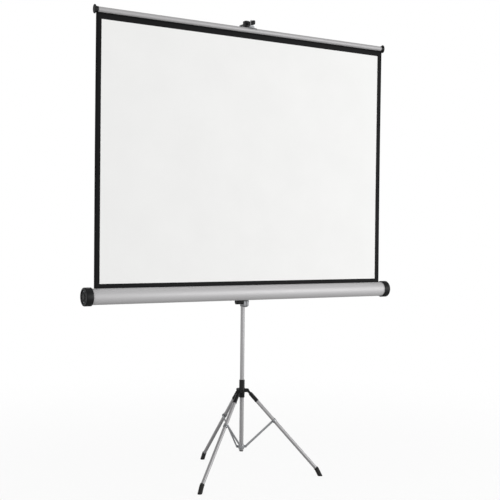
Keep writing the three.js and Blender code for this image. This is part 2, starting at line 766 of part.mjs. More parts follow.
// Spring roller inside the case
function roller() {
  const group = new THREE.Group();
  const inner = rollerRadius - rollerWall;
  const flangeFrom = rollerHalf + seatGap;
  const flangeTo = flangeFrom + plugFlange;
  const spigot = inner - seatGap;
  const capInside = caseHalf - endCapSpigot + seatGap;
  const axleEnd = capInside + bearingDepth - seatGap;
  const arborStart = axleEnd - arborLength;
  group.add(mesh('roller_tube', pipeX(rollerRadius, inner, -rollerHalf, rollerHalf), 'zinc'));
  const plugOutline = (bore) => [
    [bore, rollerHalf - plugSpigot],
    [spigot, rollerHalf - plugSpigot],
    [spigot, flangeFrom],
    [rollerRadius, flangeFrom],
    [rollerRadius, flangeTo],
    [bore, flangeTo],
  ];
  const leftPlug = turned(plugOutline(gudgeonRadius + seatGap)).rotateY(-quarterTurn);
  const rightPlug = turned(plugOutline(arborRadius + seatGap)).rotateY(quarterTurn);
  group.add(mesh('roller_plug_left', leftPlug, 'black'));
  group.add(mesh('roller_plug_right', rightPlug, 'black'));
  const pinStart = rollerHalf - gudgeonInside;
  group.add(mesh('gudgeon_pin', drumX(gudgeonRadius, -axleEnd, -pinStart, pinSides), 'steel'));
  group.add(mesh('spring_arbor', drumX(arborRadius, arborStart, axleEnd, pinSides), 'steel'));
  const anchor = pipeX(spigot, arborRadius + seatGap, arborStart, arborStart + anchorLength);
  group.add(mesh('spring_anchor', anchor, 'black'));

  const springFrom = arborStart + anchorLength + seatGap + springWireRadius;
  const springTo = rollerHalf - plugSpigot - seatGap - springWireRadius;
  const helix = new Helix(springRadius, springFrom, springTo, springTurns);
  const wire = polygon(Array.from({ length: springSides }, (_, index) => {
    const turn = (2 * halfTurn * index) / springSides;
    return [springWireRadius * Math.cos(turn), springWireRadius * Math.sin(turn)];
  }));
  const steps = springTurns * springSteps;
  const settings = { steps, bevelEnabled: false, extrudePath: helix };
  const coil = new THREE.ExtrudeGeometry(wire, settings);
  group.add(mesh('roller_spring', coil, 'steel'));
  const perTurn = (springTo - springFrom) / springTurns;
  console.log('roller spring, least gap between turns:', (perTurn - 2 * springWireRadius).toFixed(2), 'mm');
  group.position.set(0, -rollerForward, caseHeight);
  return group;
}

// Cloth from the roller up into the rail, with the bead that the rail holds
function cloth() {
  const half = clothThickness / 2;
  const beadHeight = railHeight - (railRadius - railWall - clothBeadRadius - seatGap);
  const neck = Math.sqrt(clothBeadRadius ** 2 - half ** 2);
  const beadAngle = Math.atan2(-neck, half);
  const shape = new THREE.Shape();
  shape.moveTo(-half, caseHeight);
  shape.lineTo(half, caseHeight);
  shape.absarc(0, beadHeight, clothBeadRadius, beadAngle, halfTurn - beadAngle, false);
  const sheet = pushX(shape, -clothHalf, clothHalf, bendSteps);
  return mesh('screen_cloth', sheet.translate(0, -caseForward, 0), 'cloth');
}

// Top rail, its caps, and the clip that the hanger meets
function rail() {
  const group = new THREE.Group();
  const profile = slottedShell(railRadius, railWall, railSlot / 2, railWall);
  const tube = pushX(profile, -railHalf, railHalf, railSteps).rotateX(halfTurn);
  group.add(mesh('top_rail', tube, 'silver'));
  const socket = railRadius + seatGap;
  const discFrom = railHalf + seatGap;
  const discTo = discFrom + railDiscLength;
  const sleeveFrom = discFrom - railSleeveLength;
  const outline = [
    [0, discFrom],
    [railDiscRadius, discFrom],
    [railDiscRadius, discTo - railDiscFillet],
    [railDiscRadius - railDiscFillet, discTo],
    [0, discTo],
  ];
  for (const [side, name] of [[-1, 'left'], [1, 'right']]) {
    const plate = turned(outline).rotateY(side * quarterTurn).scale(1, railDiscDepth / railDiscRadius, 1);
    const sleeve = pipe(socket + railSleeveWall, socket, sleeveFrom, discFrom + railDiscFillet);
    const cap = joined(plate, sleeve.rotateY(side * quarterTurn));
    const slot = block(-discFrom, discFrom, -railSlot / 2, railSlot / 2, -railDiscRadius, 0);
    group.add(mesh(`rail_cap_${name}`, cut(cap, slot), 'black'));
  }
  const saddleShape = new THREE.Shape();
  const saddleEnd = radians(cradleAngle) / 2;
  saddleShape.absarc(0, 0, socket + clipWall, saddleEnd, halfTurn - saddleEnd, false);
  saddleShape.absarc(0, 0, socket, halfTurn - saddleEnd, saddleEnd, true);
  const saddle = pushX(saddleShape, -clipLength / 2, clipLength / 2, bendSteps);
  const padShape = polygon([
    [-clipPadLength / 2, railRadius + clipWall / 2],
    [clipPadLength / 2, railRadius + clipWall / 2],
    [clipPadLength / 2 - clipWall, railRadius + clipPadRise],
    [-clipPadLength / 2 + clipWall, railRadius + clipPadRise],
  ]);
  const pad = pushFront(padShape, -clipPadDepth / 2, clipPadDepth / 2);
  const room = drumX(socket, -clipLength, clipLength, tubeSides);
  group.add(mesh('rail_clip', cut(joined(saddle, pad), room), 'zinc'));
  group.position.set(0, -caseForward, railHeight);
  return group;
}

// Extension rod with its glide and head, and the hook arm with the hanger on it
function mast() {
  const group = new THREE.Group();
  const rodInner = rodRadius - rodWall;
  group.add(mesh('extension_rod', pipe(rodRadius, rodInner, rodBottom, rodTop), 'silver'));
  const glideRadius = columnInner - slideGap;
  const glide = turned([
    [0, rodBottom - glideFlange],
    [glideRadius, rodBottom - glideFlange],
    [glideRadius, rodBottom - seatGap],
    [rodInner - seatGap, rodBottom - seatGap],
    [rodInner - seatGap, rodBottom + glideLength],
    [0, rodBottom + glideLength],
  ]);
  group.add(mesh('rod_glide', glide, 'black'));

  const corners = [headCorner, headCorner, headCorner, headCorner];
  const plan = rounded(-headWidth / 2, -headForward, headWidth / 2, headBack, corners);
  const blockForm = pushZ(plan, headBottom, headTop);
  const crown = rounded(-headWidth / 2, headBottom, headWidth / 2, headTop, [0, 0, headCorner, headCorner]);
  const crowned = common(blockForm, pushFront(crown, -headBack, headForward));
  const rodHole = drum(rodRadius + seatGap, headBottom - overrun, rodTop + seatGap);
  const armRoom = armThickness / 2 + seatGap;
  const barRoom = armBarHeight / 2 + seatGap;
  const window = block(-armRoom, armRoom, -armNoseEnd, armTail, armHeight - barRoom, armHeight + barRoom);
  group.add(mesh('rod_head', cut(crowned, rodHole, window), 'black'));

  const bar = block(-armThickness / 2, armThickness / 2, -armNoseStart - overrun, armTail,
    armHeight - armBarHeight / 2, armHeight + armBarHeight / 2);
  const noseTop = armHeight - armNoseDrop + armNoseHeight / 2;
  const noseLow = noseTop - armNoseHeight;
  const noseCorners = [armNoseCorner, armNotch, armNotch, armNoseCorner];
  const noseShape = rounded(-armNoseEnd, noseLow, -armNoseStart, noseTop, noseCorners);
  const nose = pushX(noseShape, -armThickness / 2, armThickness / 2);
  const hangerFront = caseForward + hangerDepth / 2;
  const notches = Array.from({ length: armNotchCount }, (_, index) => {
    const place = hangerFront + armNotchPitch * (index + 1 / 2);
    return drumX(armNotch, -armThickness, armThickness, pinSides).translate(0, -place, noseTop);
  });
  group.add(mesh('hook_arm', cut(joined(bar, nose), ...notches), 'black'));

  const hangerLow = railHeight + railRadius + clipPadRise + seatGap;
  const windowHalf = armThickness / 2 + seatGap;
  const uprights = windowHalf + hangerWall;
  const yoke = polygon([
    [-hangerFoot, hangerLow],
    [hangerFoot, hangerLow],
    [uprights, noseLow],
    [uprights, noseTop + hangerBridge - hangerWall / 2],
    [uprights - hangerWall / 2, noseTop + hangerBridge],
    [-uprights + hangerWall / 2, noseTop + hangerBridge],
    [-uprights, noseTop + hangerBridge - hangerWall / 2],
    [-uprights, noseLow],
  ]);
  const yokeForm = pushFront(yoke, caseForward - hangerDepth / 2, hangerFront);
  const gate = block(-windowHalf, windowHalf, -hangerFront - overrun, 0,
    noseLow - seatGap, noseTop + seatGap);
  group.add(mesh('rail_hanger', cut(yokeForm, gate), 'zinc'));
  return group;
}

const screen = new THREE.Group();
screen.position.y = columnBack;
screen.add(column(), spider(), hub());
legBearings.forEach((bearing, index) => {
  const side = new THREE.Group();
  side.rotation.z = radians(bearing);
  side.add(leg(legNames[index]), brace(legNames[index]));
  screen.add(side);
});
screen.add(bracket(), caseShell(), roller(), cloth(), rail(), mast());

export default screen;
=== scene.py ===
import math

import bmesh
import bpy
from mathutils import Matrix, Vector


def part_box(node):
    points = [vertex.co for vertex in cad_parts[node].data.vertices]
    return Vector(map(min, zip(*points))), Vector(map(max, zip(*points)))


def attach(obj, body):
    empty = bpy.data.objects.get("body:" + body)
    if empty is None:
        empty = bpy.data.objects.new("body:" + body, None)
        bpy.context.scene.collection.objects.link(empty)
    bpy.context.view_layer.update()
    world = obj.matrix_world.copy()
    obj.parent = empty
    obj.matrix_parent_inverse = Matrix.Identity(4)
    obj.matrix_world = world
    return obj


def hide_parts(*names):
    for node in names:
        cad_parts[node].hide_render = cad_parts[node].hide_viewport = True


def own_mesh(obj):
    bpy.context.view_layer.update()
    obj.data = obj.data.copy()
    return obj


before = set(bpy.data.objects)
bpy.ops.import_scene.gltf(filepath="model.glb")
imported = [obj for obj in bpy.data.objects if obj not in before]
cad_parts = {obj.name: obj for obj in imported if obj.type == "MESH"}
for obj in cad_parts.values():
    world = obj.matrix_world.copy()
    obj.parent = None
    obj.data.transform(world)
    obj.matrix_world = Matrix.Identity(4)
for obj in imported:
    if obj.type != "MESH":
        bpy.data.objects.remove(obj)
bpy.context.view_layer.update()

# A tripod projector screen, dressed for the studio. The cloth faces -Y, and the camera stands in front of it,
# to its left. Every length is in metres, and the object's own are written in millimetres.
MM = 0.001

# Turns, and the number of steps in what is round
TAU = 2 * math.pi
HALF_TURN = math.pi
QUARTER_TURN = math.pi / 2
CASE_STEPS = 96
TUBE_STEPS = 64
PIN_STEPS = 32
SADDLE_STEPS = 24
GROOVE_STEPS = 12
CORNER_STEPS = 8
DOME_STEPS = 6
EDGE_STEPS = 3

# What counts as a sharp edge, as one point, as running along an axis, and as a slit to be closed
SHARP_EDGE = math.radians(28)
WELD = 0.005 * MM
ALONG_SHARE = 0.99
SLIT_SIDES = 4

# The gap between parts that meet, the gap of what slides on the column, and how far a cutting form reaches
# past what it cuts
SEAT_GAP = 0.3 * MM
SLIDE_GAP = 0.4 * MM
OVERRUN = 5 * MM

# Edge radii: small fasteners, turned parts, sheet metal and tube ends, castings, and moulded parts
FINE_EDGE = 0.25 * MM
TURNED_EDGE = 2 * FINE_EDGE
METAL_EDGE = 0.3 * MM
CAST_EDGE = 2 * METAL_EDGE
MOULD_EDGE = 0.8 * MM
CRISP_EDGE = MOULD_EDGE / 2
SOFT_EDGE = 2 * MOULD_EDGE


# Shifts and turns
def at(across, back, up):
    return Matrix.Translation((across, back, up))


def about(axis, angle):
    return Matrix.Rotation(angle, 4, axis)


def facing(side):
    """Turns a form along Z to run along X, to the left for -1 and to the right for 1."""
    return about("Y", side * QUARTER_TURN)


TO_X = facing(1)
TO_Y = about("X", -QUARTER_TURN)
LIE_BACK = about("X", QUARTER_TURN)
UPSIDE_DOWN = about("X", HALF_TURN)


# Places read from the frame
def corners_of(node):
    low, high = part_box(node)
    return Vector(low), Vector(high)


def middle_of(node):
    low, high = corners_of(node)
    return (low + high) / 2


COLUMN_LOW, COLUMN_HIGH = corners_of("column_tube")
COLUMN_RADIUS = (COLUMN_HIGH.x - COLUMN_LOW.x) / 2
COLUMN_BACK = (COLUMN_LOW.y + COLUMN_HIGH.y) / 2
ON_COLUMN = at(0, COLUMN_BACK, 0)
CASE_LOW, CASE_HIGH = corners_of("case_shell")
CASE_RADIUS = (CASE_HIGH.y - CASE_LOW.y) / 2
CASE_CENTRE = middle_of("case_shell")
CASE_CENTRE.z = CASE_LOW.z + CASE_RADIUS
ON_CASE = Matrix.Translation(CASE_CENTRE)
RAIL_LOW, RAIL_HIGH = corners_of("top_rail")
RAIL_RADIUS = (RAIL_HIGH.y - RAIL_LOW.y) / 2
RAIL_CENTRE = middle_of("top_rail")
RAIL_CENTRE.z = RAIL_HIGH.z - RAIL_RADIUS
ON_RAIL = Matrix.Translation(RAIL_CENTRE)
LEG_NAMES = ("front_left", "front_right", "rear")
SIDES = {-1: "left", 1: "right"}


# Forms
def moved(shape, place):
    bmesh.ops.transform(shape, matrix=place, verts=shape.verts[:])
    return shape


def closed_up(shape):
    """Joins the seam of a form and turns its faces outwards."""
    bmesh.ops.remove_doubles(shape, verts=shape.verts[:], dist=WELD)
    bmesh.ops.recalc_face_normals(shape, faces=shape.faces[:])
    return shape


def sharp_edges(shape):
    return [edge for edge in shape.edges if edge.is_manifold and edge.calc_face_angle(0) > SHARP_EDGE]


def softened(shape, radius, edges=None, steps=EDGE_STEPS):
    """Rounds the sharp edges of a form, or only the edges given."""
    bmesh.ops.bevel(
        shape,
        geom=sharp_edges(shape) if edges is None else edges,
        offset=radius,
        offset_type="OFFSET",
        segments=steps,
        profile=0.5,
        affect="EDGES",
        clamp_overlap=True,
        material=-1,
    )
    return shape


def turned(outline, steps=TUBE_STEPS):
    """An outline of (radius, height) turned about Z. It starts and ends on the axis, or closes on itself."""
    shape = bmesh.new()
    chain = [shape.verts.new((radius, 0, height)) for radius, height in outline]
    for first, second in zip(chain, chain[1:]):
        shape.edges.new((first, second))
    if outline[0][0] > 0:
        shape.edges.new((chain[-1], chain[0]))
    bmesh.ops.spin(
        shape,
        geom=shape.verts[:] + shape.edges[:],
        cent=(0, 0, 0),
        axis=(0, 0, 1),
        dvec=(0, 0, 0),
        angle=TAU,
        steps=steps,
        use_merge=True,
        use_duplicate=False,
    )
    return closed_up(shape)


def pipe(outer, inner, low, high, steps=TUBE_STEPS, edge=METAL_EDGE):
    ring = turned([(inner, low), (outer, low), (outer, high), (inner, high)], steps)
    return softened(ring, edge)


def drum(radius, low, high, steps=PIN_STEPS):
    shape = bmesh.new()
    bmesh.ops.create_cone(
        shape, cap_ends=True, segments=steps, radius1=radius, radius2=radius, depth=high - low
    )
    return moved(shape, at(0, 0, (low + high) / 2))


def room_for(radius, low, high, place=None, steps=PIN_STEPS):
    """The hole for something round, with its gap, as a form to cut out: drawn along Z, and then placed."""
    room = drum(radius + SEAT_GAP, low, high, steps)
    return moved(room, place) if place else room


def block(low, high):
    shape = bmesh.new()
    bmesh.ops.create_cube(shape, size=1)
    size = Vector(high) - Vector(low)
    centre = (Vector(low) + Vector(high)) / 2
    return moved(shape, Matrix.Translation(centre) @ Matrix.Diagonal((*size, 1)))


def thickened(shape, depth):
    """Pushes a flat form up along Z into a solid."""
    pushed_up = bmesh.ops.extrude_face_region(shape, geom=shape.faces[:])
    top = [item for item in pushed_up["geom"] if isinstance(item, bmesh.types.BMVert)]
    bmesh.ops.translate(shape, verts=top, vec=(0, 0, depth))
    return closed_up(shape)


def pushed(outline, depth):
    """A closed outline in X and Y pushed up along Z."""
    shape = bmesh.new()
    shape.faces.new([shape.verts.new((across, up, 0)) for across, up in outline])
    return thickened(shape, depth)


def pushed_along_x(outline, low, high, edge):
    """An outline in X and Y pushed along X, with its own X towards the back and its Y up."""
    shape = softened(pushed(outline, high - low), edge)
    return moved(shape, Matrix(((0, 0, 1, low), (1, 0, 0, 0), (0, 1, 0, 0), (0, 0, 0, 1))))


def stood_up(shape, depth):
    """Stands a flat bar of this depth up, so that it runs up along Z and is centred in Y."""
    return moved(shape, at(0, depth / 2, 0) @ LIE_BACK)


def strip(radius, length, depth, steps=PIN_STEPS):
    """A flat bar with round ends: it runs up along Z from the centre of its lower end, centred in Y."""
    shape = bmesh.new()
    bmesh.ops.create_circle(shape, cap_ends=True, segments=steps, radius=radius)
    moved(shape, about("Z", HALF_TURN / steps))
    far = [vert for vert in shape.verts if vert.co.y > 0]
    bmesh.ops.translate(shape, verts=far, vec=(0, length, 0))
    return stood_up(thickened(shape, depth), depth)


def along(shape, axis):
    """The edges of a form that run along X, Y or Z, given as 0, 1 or 2."""
    found = []
    for edge in shape.edges:
        way = edge.verts[1].co - edge.verts[0].co
        if abs(way[axis]) > ALONG_SHARE * way.length:
            found.append(edge)
    return found


def arc(radius, start, end, steps):
    """Points from one angle to another, both included."""
    turns = [start + (end - start) * step / steps for step in range(steps + 1)]
    return [(radius * math.cos(turn), radius * math.sin(turn)) for turn in turns]


def rounded_rim(radius, height, fillet, steps):
    """The points of an outline that round an outer rim at a height, from its side to its top."""
    quarter = arc(fillet, 0, QUARTER_TURN, steps)
    return [(radius - fillet + across, height - fillet + up) for across, up in quarter]


def slotted_section(radius, wall, half_slot, lip, steps):
    """The section of a round shell with a slot at its top whose edges turn in. It is drawn in X and Y."""
    inner = radius - wall
    outer_angle = math.acos(half_slot / radius)
    inner_angle = math.acos((half_slot + wall) / inner)
    lip_end = radius * math.sin(outer_angle) - lip
    return [
        *arc(radius, outer_angle, HALF_TURN - outer_angle - TAU, steps),
        (-half_slot, lip_end),
        (-half_slot - wall, lip_end),
        *arc(inner, HALF_TURN - inner_angle, inner_angle + TAU, steps),
        (half_slot + wall, lip_end),
        (half_slot, lip_end),
    ]


# Joining and cutting
def mesh_from(shape, name):
    """The mesh of a form, which is let go."""
    mesh = bpy.data.meshes.new(name)
    shape.to_mesh(mesh)
    shape.free()
    return mesh


def new_thing(name, data):
    """A new object in the scene."""
    thing = bpy.data.objects.new(name, data)
    bpy.context.scene.collection.objects.link(thing)
    return thing


def combined(base, others, operation):
    whole, *tools = [new_thing("form", mesh_from(shape, "form")) for shape in (base, *others)]
    for tool in tools:
        change = whole.modifiers.new("change", "BOOLEAN")
        change.operation = operation
        change.solver = "EXACT"
        change.object = tool
    graph = bpy.context.evaluated_depsgraph_get()
    result = bmesh.new()
    result.from_mesh(whole.evaluated_get(graph).to_mesh())
    for thing in (whole, *tools):
        mesh = thing.data
        bpy.data.objects.remove(thing)
        bpy.data.meshes.remove(mesh)
    bmesh.ops.remove_doubles(result, verts=result.verts[:], dist=WELD)
    bmesh.ops.dissolve_degenerate(result, edges=result.edges[:], dist=WELD)
    # Where a sliver is dissolved, a slit of no width can stay open
    slits = [edge for edge in result.edges if edge.is_boundary]
    bmesh.ops.holes_fill(result, edges=slits, sides=SLIT_SIDES)
    return result


def joined(base, *others):
    return combined(base, others, "UNION")


def cut(base, *others):
    return combined(base, others, "DIFFERENCE")


def common(base, other):
    return combined(base, (other,), "INTERSECT")


# Materials. A colour mix takes its factor and its two colours at three of these sockets, and gives its colour
# at the fourth
MIX_FACTOR = 0
MIX_FIRST = 6
MIX_SECOND = 7
MIX_COLOUR = 2
SRGB_STRAIGHT_END = 0.04045
SRGB_STRAIGHT_SLOPE = 12.92
SRGB_OFFSET = 0.055
SRGB_POWER = 2.4


def linear(part):
    """One part of an sRGB colour as the linear value that a shader takes."""
    if part <= SRGB_STRAIGHT_END:
        return part / SRGB_STRAIGHT_SLOPE
    return ((part + SRGB_OFFSET) / (1 + SRGB_OFFSET)) ** SRGB_POWER


def paint(colour):
    """A colour given as sRGB hex, made linear."""
    return (*[linear(part / 255) for part in bytes.fromhex(colour.lstrip("#"))], 1)


def per(size):
    """The texture scale at which a pattern repeats each size, a length in metres."""
    return 1 / size


def add_node(tree, kind, inputs=None, **settings):
    """Adds a node. An input is a value, or an output of another node to link to it."""
    node = tree.nodes.new(kind)
    for name, value in settings.items():
        setattr(node, name, value)
    for name, value in (inputs or {}).items():
        if isinstance(value, bpy.types.NodeSocket):
            tree.links.new(value, node.inputs[name])
        else:
            node.inputs[name].default_value = value
    return node


def cloudy(place, size, detail, roughness):
    """What a noise texture is given for a cloudy pattern of one size."""
    return {"Vector": place, "Scale": per(size), "Detail": detail, "Roughness": roughness}


def between(share, first, second):
    """What a colour mix is given to go from one colour to another."""
    return {MIX_FACTOR: share, MIX_FIRST: first, MIX_SECOND: second}


def new_finish(name, plain, coordinates="Object"):
    """A material and its node tree, shader and coordinates. Plain values go on the shader's own sockets."""
    material = bpy.data.materials.new(name)
    material.use_nodes = True
    tree = material.node_tree
    shader = tree.nodes["Principled BSDF"]
    for socket, value in plain.items():
        shader.inputs[socket].default_value = value
    place = add_node(tree, "ShaderNodeTexCoord").outputs[coordinates]
    return material, tree, shader, place


def layered(name, plain, skin, tones, gloss, wear=None, grain=None, relief=None):
    """A finish that varies in tone, gloss and relief.

    Skin, wear and grain are cloudy patterns, each given as its size, detail and roughness. The skin sets the
    tone, the wear the gloss and the grain the relief. Where there is no wear or grain, the skin takes its
    place. Tones and gloss go from the first value to the second, and relief is its strength and its depth.
    """
    material, tree, shader, place = new_finish(name, plain)
    patterns = dict.fromkeys((skin, wear or skin, grain or skin))
    for pattern in patterns:
        patterns[pattern] = add_node(tree, "ShaderNodeTexNoise", cloudy(place, *pattern)).outputs["Fac"]
    tone = between(patterns[skin], paint(tones[0]), paint(tones[1]))
    mixed = add_node(tree, "ShaderNodeMix", tone, data_type="RGBA")
    tree.links.new(mixed.outputs[MIX_COLOUR], shader.inputs["Base Color"])
    sheen = {"Value": patterns[wear or skin], "To Min": gloss[0], "To Max": gloss[1]}
    ranged = add_node(tree, "ShaderNodeMapRange", sheen)
    tree.links.new(ranged.outputs["Result"], shader.inputs["Roughness"])
    if relief:
        raised = {"Strength": relief[0], "Distance": relief[1], "Height": patterns[grain or skin]}
        bump = add_node(tree, "ShaderNodeBump", raised)
        tree.links.new(bump.outputs["Normal"], shader.inputs["Normal"])
    return material


def silver_coat(name, metallic, tones):
    """Silver powder coat, sprayed and baked: a satin metallic skin with fine flake and a faint orange peel.

    The peel is about 1 mm on the real coat, and is drawn at 2.5 mm so that it shows.
    """
    return layered(
        name,
        {"Metallic": metallic},
        skin=(1.2 * MM, 3, 0.7),
        tones=tones,
        gloss=(0.48, 0.62),
        wear=(60 * MM, 4, 0.6),
        grain=(2.5 * MM, 2, 0.5),
        relief=(0.12, 0.05 * MM),
    )


# The case and rail have a flatter coat than the tubes. The rail's coat is the case's coat painted a shade
# darker, and the tubes' coat is painted darker than the case's: both darker tones are painted shade
SILVER = silver_coat("silver_powder_coat_on_sheet", 0.28, ("#A9A8A9", "#D0CFD0"))
# Painted shade: the case's coat in a darker tone for the rail
RAIL_SILVER_PAINTED_SHADE = silver_coat("silver_powder_coat_on_rail_painted_shade", 0.28, ("#9B9A9B", "#BEBDBE"))
# Painted shade in the darker tone; the higher metallic value is the tube coat's own
TUBE_SILVER_PAINTED_SHADE = silver_coat("silver_powder_coat_on_tube_painted_shade", 0.82, ("#8A898A", "#C2C1C2"))

# Zinc plate on pressed steel, barrel plated and passivated: bright grey with a cloudy, slightly blue bloom
ZINC = layered(
    "zinc_plate_barrel_passivated",
    {"Metallic": 1},
    skin=(9 * MM, 5, 0.65),
    tones=("#7D7F81", "#B5B6B8"),
    gloss=(0.28, 0.5),
    grain=(1.5 * MM, 2, 0.5),
    relief=(0.15, 0.03 * MM),
)

# Zinc alloy, pressure die-cast and tumbled: a dull mid grey skin, in slightly uneven patches
CAST_ZINC = layered(
    "zinc_alloy_die_cast_tumbled",
    {"Metallic": 0.7},
    skin=(7 * MM, 4, 0.6),
    tones=("#7C7D7F", "#9C9D9F"),
    gloss=(0.5, 0.66),
    grain=(1.2 * MM, 3, 0.5),
    relief=(0.25, 0.05 * MM),
)

# Bright steel, turned and cold headed: fine tool marks and a clear reflection
STEEL = layered(
    "bright_steel_turned",
    {"Metallic": 1},
    skin=(0.8 * MM, 4, 0.7),
    tones=("#6E7276", "#A9ACB0"),
    gloss=(0.18, 0.38),
    relief=(0.1, 0.02 * MM),
)

# Steel, blackened in a hot salt bath and oiled: an even, almost black skin with a soft sheen
BLACK_STEEL = layered(
    "steel_black_oxide_oiled",
    {"Metallic": 0.9},
    skin=(3 * MM, 4, 0.6),
    tones=("#161719", "#242528"),
    gloss=(0.4, 0.55),
)

# Oil-tempered spring wire, drawn: dark blue-brown scale, worn bright in places
SPRING = layered(
    "spring_wire_oil_tempered",
    {"Metallic": 1},
    skin=(4 * MM, 4, 0.6),
    tones=("#33363B", "#6B655E"),
    gloss=(0.35, 0.55),
)

# ABS, injection moulded in a spark-eroded tool: black with a fine even grain and a low sheen.
# The grain is about 0.2 mm on the real moulding, and is drawn at 0.8 mm
BLACK = layered(
    "black_abs_moulded",
    {"IOR": 1.53, "Specular IOR Level": 0.2},
    skin=(25 * MM, 3, 0.5),
    tones=("#0B0B0C", "#151617"),
    gloss=(0.4, 0.56),
    grain=(0.8 * MM, 2, 0.5),
    relief=(0.25, 0.06 * MM),
)

# EPDM rubber, moulded: dull black, dusty where it is handled and where it scuffs the floor
RUBBER = layered(
    "black_rubber_moulded",
    {"IOR": 1.5},
    skin=(14 * MM, 5, 0.7),
    tones=("#0B0B0B", "#1F1E1D"),
    gloss=(0.7, 0.92),
    grain=(1 * MM, 2, 0.5),
    relief=(0.3, 0.08 * MM),
)


def add_piece(name, shape, body, finish, *nodes):
    """Makes a form a piece of the object, with its place in its mesh. It stands for the CAD nodes named."""
    mesh = mesh_from(shape, name)
    mesh.materials.append(finish)
    mesh.shade_smooth()
    mesh.set_sharp_from_angle(angle=SHARP_EDGE)
    piece = new_thing(name, mesh)
    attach(piece, body)
    if nodes:
        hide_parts(*nodes)
    return piece


def dress(node, shape, body, finish):
    """Makes a form the piece that stands for one CAD node."""
    return add_piece(f"{node}_piece", shape, body, finish, node)


# Fasteners
def dome_head(radius, height, low):
    """The outline of a domed head that stands on low, from its rim to the axis."""
    crown = arc(1, 0, QUARTER_TURN, DOME_STEPS)
    return [(radius * across, low + height * up) for across, up in crown[:-1]] + [(0, low + height)]


def rivet(shank_radius, shank_low, head_radius, head_low, head_height):
    """A rivet along Z with a domed head at its upper end and a slightly peened lower end."""
    outline = [
        (0, shank_low),
        (shank_radius - FINE_EDGE, shank_low),
        (shank_radius, shank_low + FINE_EDGE),
        (shank_radius, head_low),
        *dome_head(head_radius, head_height, head_low),
    ]
    return turned(outline, PIN_STEPS)


# Stand: column, plug, spider, collar and rod
COLUMN_WALL = 1 * MM
PLUG_EDGE = 2 * MM
ROD_WALL = 1 * MM
SPIDER_WALL = 2.9 * MM
SPIDER_RADIUS = 20 * MM
SPIDER_TAB_ROOT = 4.5 * MM
SPIDER_TAB_THICKNESS = 2.2 * MM
BRACE_WIDTH = 12 * MM
BRACE_THICKNESS = 2 * MM
BRACE_INNER = 11.6 * MM
BRACE_OUTER = BRACE_INNER + BRACE_THICKNESS
CLIP_FACE = BRACE_INNER - SEAT_GAP
RIVET_RADIUS = 2.5 * MM
RIVET_HEAD_RADIUS = 5 * MM
RIVET_HEAD = 1.6 * MM
RIVET_SEAT = BRACE_OUTER + SEAT_GAP
COLLAR_RADIUS = 14 * MM
COLLAR_EDGE = 2 * MM
COLLAR_FLUTE = 1.1 * MM
COLLAR_FLUTES = 24
COLLAR_BOSS_RADIUS = 8 * MM
COLLAR_BOSS_REACH = 24 * MM
STUD_RADIUS = 3 * MM
ROD_LOW, ROD_HIGH = corners_of("extension_rod")
ROD_RADIUS = (ROD_HIGH.x - ROD_LOW.x) / 2
SPIDER_LOW, SPIDER_HIGH = corners_of("spider")
SPIDER_HEIGHT = (SPIDER_LOW.z + SPIDER_HIGH.z) / 2
AT_SPIDER_PIVOT = at(SPIDER_RADIUS, 0, SPIDER_HEIGHT)


def towards_leg(name):
    """The turn about Z from X to the direction of a leg round the column."""
    pin = middle_of(f"leg_pin_{name}")
    return about("Z", math.atan2(pin.y - COLUMN_BACK, pin.x))


def round_column(name):
    """The place of a form drawn in X and Z beside the column, turned to face along a leg."""
    return ON_COLUMN @ towards_leg(name)


def make_column():
    inner = COLUMN_RADIUS - COLUMN_WALL
    tube = pipe(COLUMN_RADIUS, inner, COLUMN_LOW.z, COLUMN_HIGH.z)
    dress("column_tube", moved(tube, ON_COLUMN), "column", TUBE_SILVER_PAINTED_SHADE)
    low, high = corners_of("column_plug")
    flange = COLUMN_LOW.z - SEAT_GAP
    plug = turned([
        (0, low.z),
        (COLUMN_RADIUS - PLUG_EDGE, low.z),
        (COLUMN_RADIUS, low.z + PLUG_EDGE),
        (COLUMN_RADIUS, flange),
        (inner - SEAT_GAP, flange),
        (inner - SEAT_GAP, high.z),
        (0, high.z),
    ])
    dress("column_plug", moved(softened(plug, MOULD_EDGE), ON_COLUMN), "column", BLACK)


def make_spider():
    bore = COLUMN_RADIUS + SEAT_GAP
    ring = pipe(bore + SPIDER_WALL, bore, SPIDER_LOW.z, SPIDER_HIGH.z)
    across = CLIP_FACE - SPIDER_TAB_THICKNESS / 2
    root = at(SPIDER_TAB_ROOT, across, SPIDER_HEIGHT)
    tabs = []
    holes = []
    for name in LEG_NAMES:
        turn = towards_leg(name)
        tab = strip(BRACE_WIDTH / 2, SPIDER_RADIUS - SPIDER_TAB_ROOT, SPIDER_TAB_THICKNESS)
        tabs.append(moved(softened(tab, METAL_EDGE), turn @ root @ TO_X))
        holes.append(room_for(RIVET_RADIUS, 0, CLIP_FACE + OVERRUN, turn @ AT_SPIDER_PIVOT @ TO_Y))
    room = drum(bore, SPIDER_LOW.z - OVERRUN, SPIDER_HIGH.z + OVERRUN, TUBE_STEPS)
    spider = cut(joined(ring, *tabs), room, *holes)
    dress("spider", moved(spider, ON_COLUMN), "column", ZINC)
    for name in LEG_NAMES:
        pin_low = CLIP_FACE - SPIDER_TAB_THICKNESS
        pin = rivet(RIVET_RADIUS, pin_low, RIVET_HEAD_RADIUS, RIVET_SEAT, RIVET_HEAD)
        pin = moved(pin, round_column(name) @ AT_SPIDER_PIVOT @ TO_Y)
        dress(f"spider_pin_{name}", pin, "column", STEEL)


# Knobs
KNOB_FLUTES = 10
KNOB_FLUTE_STEPS = 12
KNOB_FLUTE_SHARE = 0.1
KNOB_RIM = 3 * MM
KNOB_DISH = 1 * MM


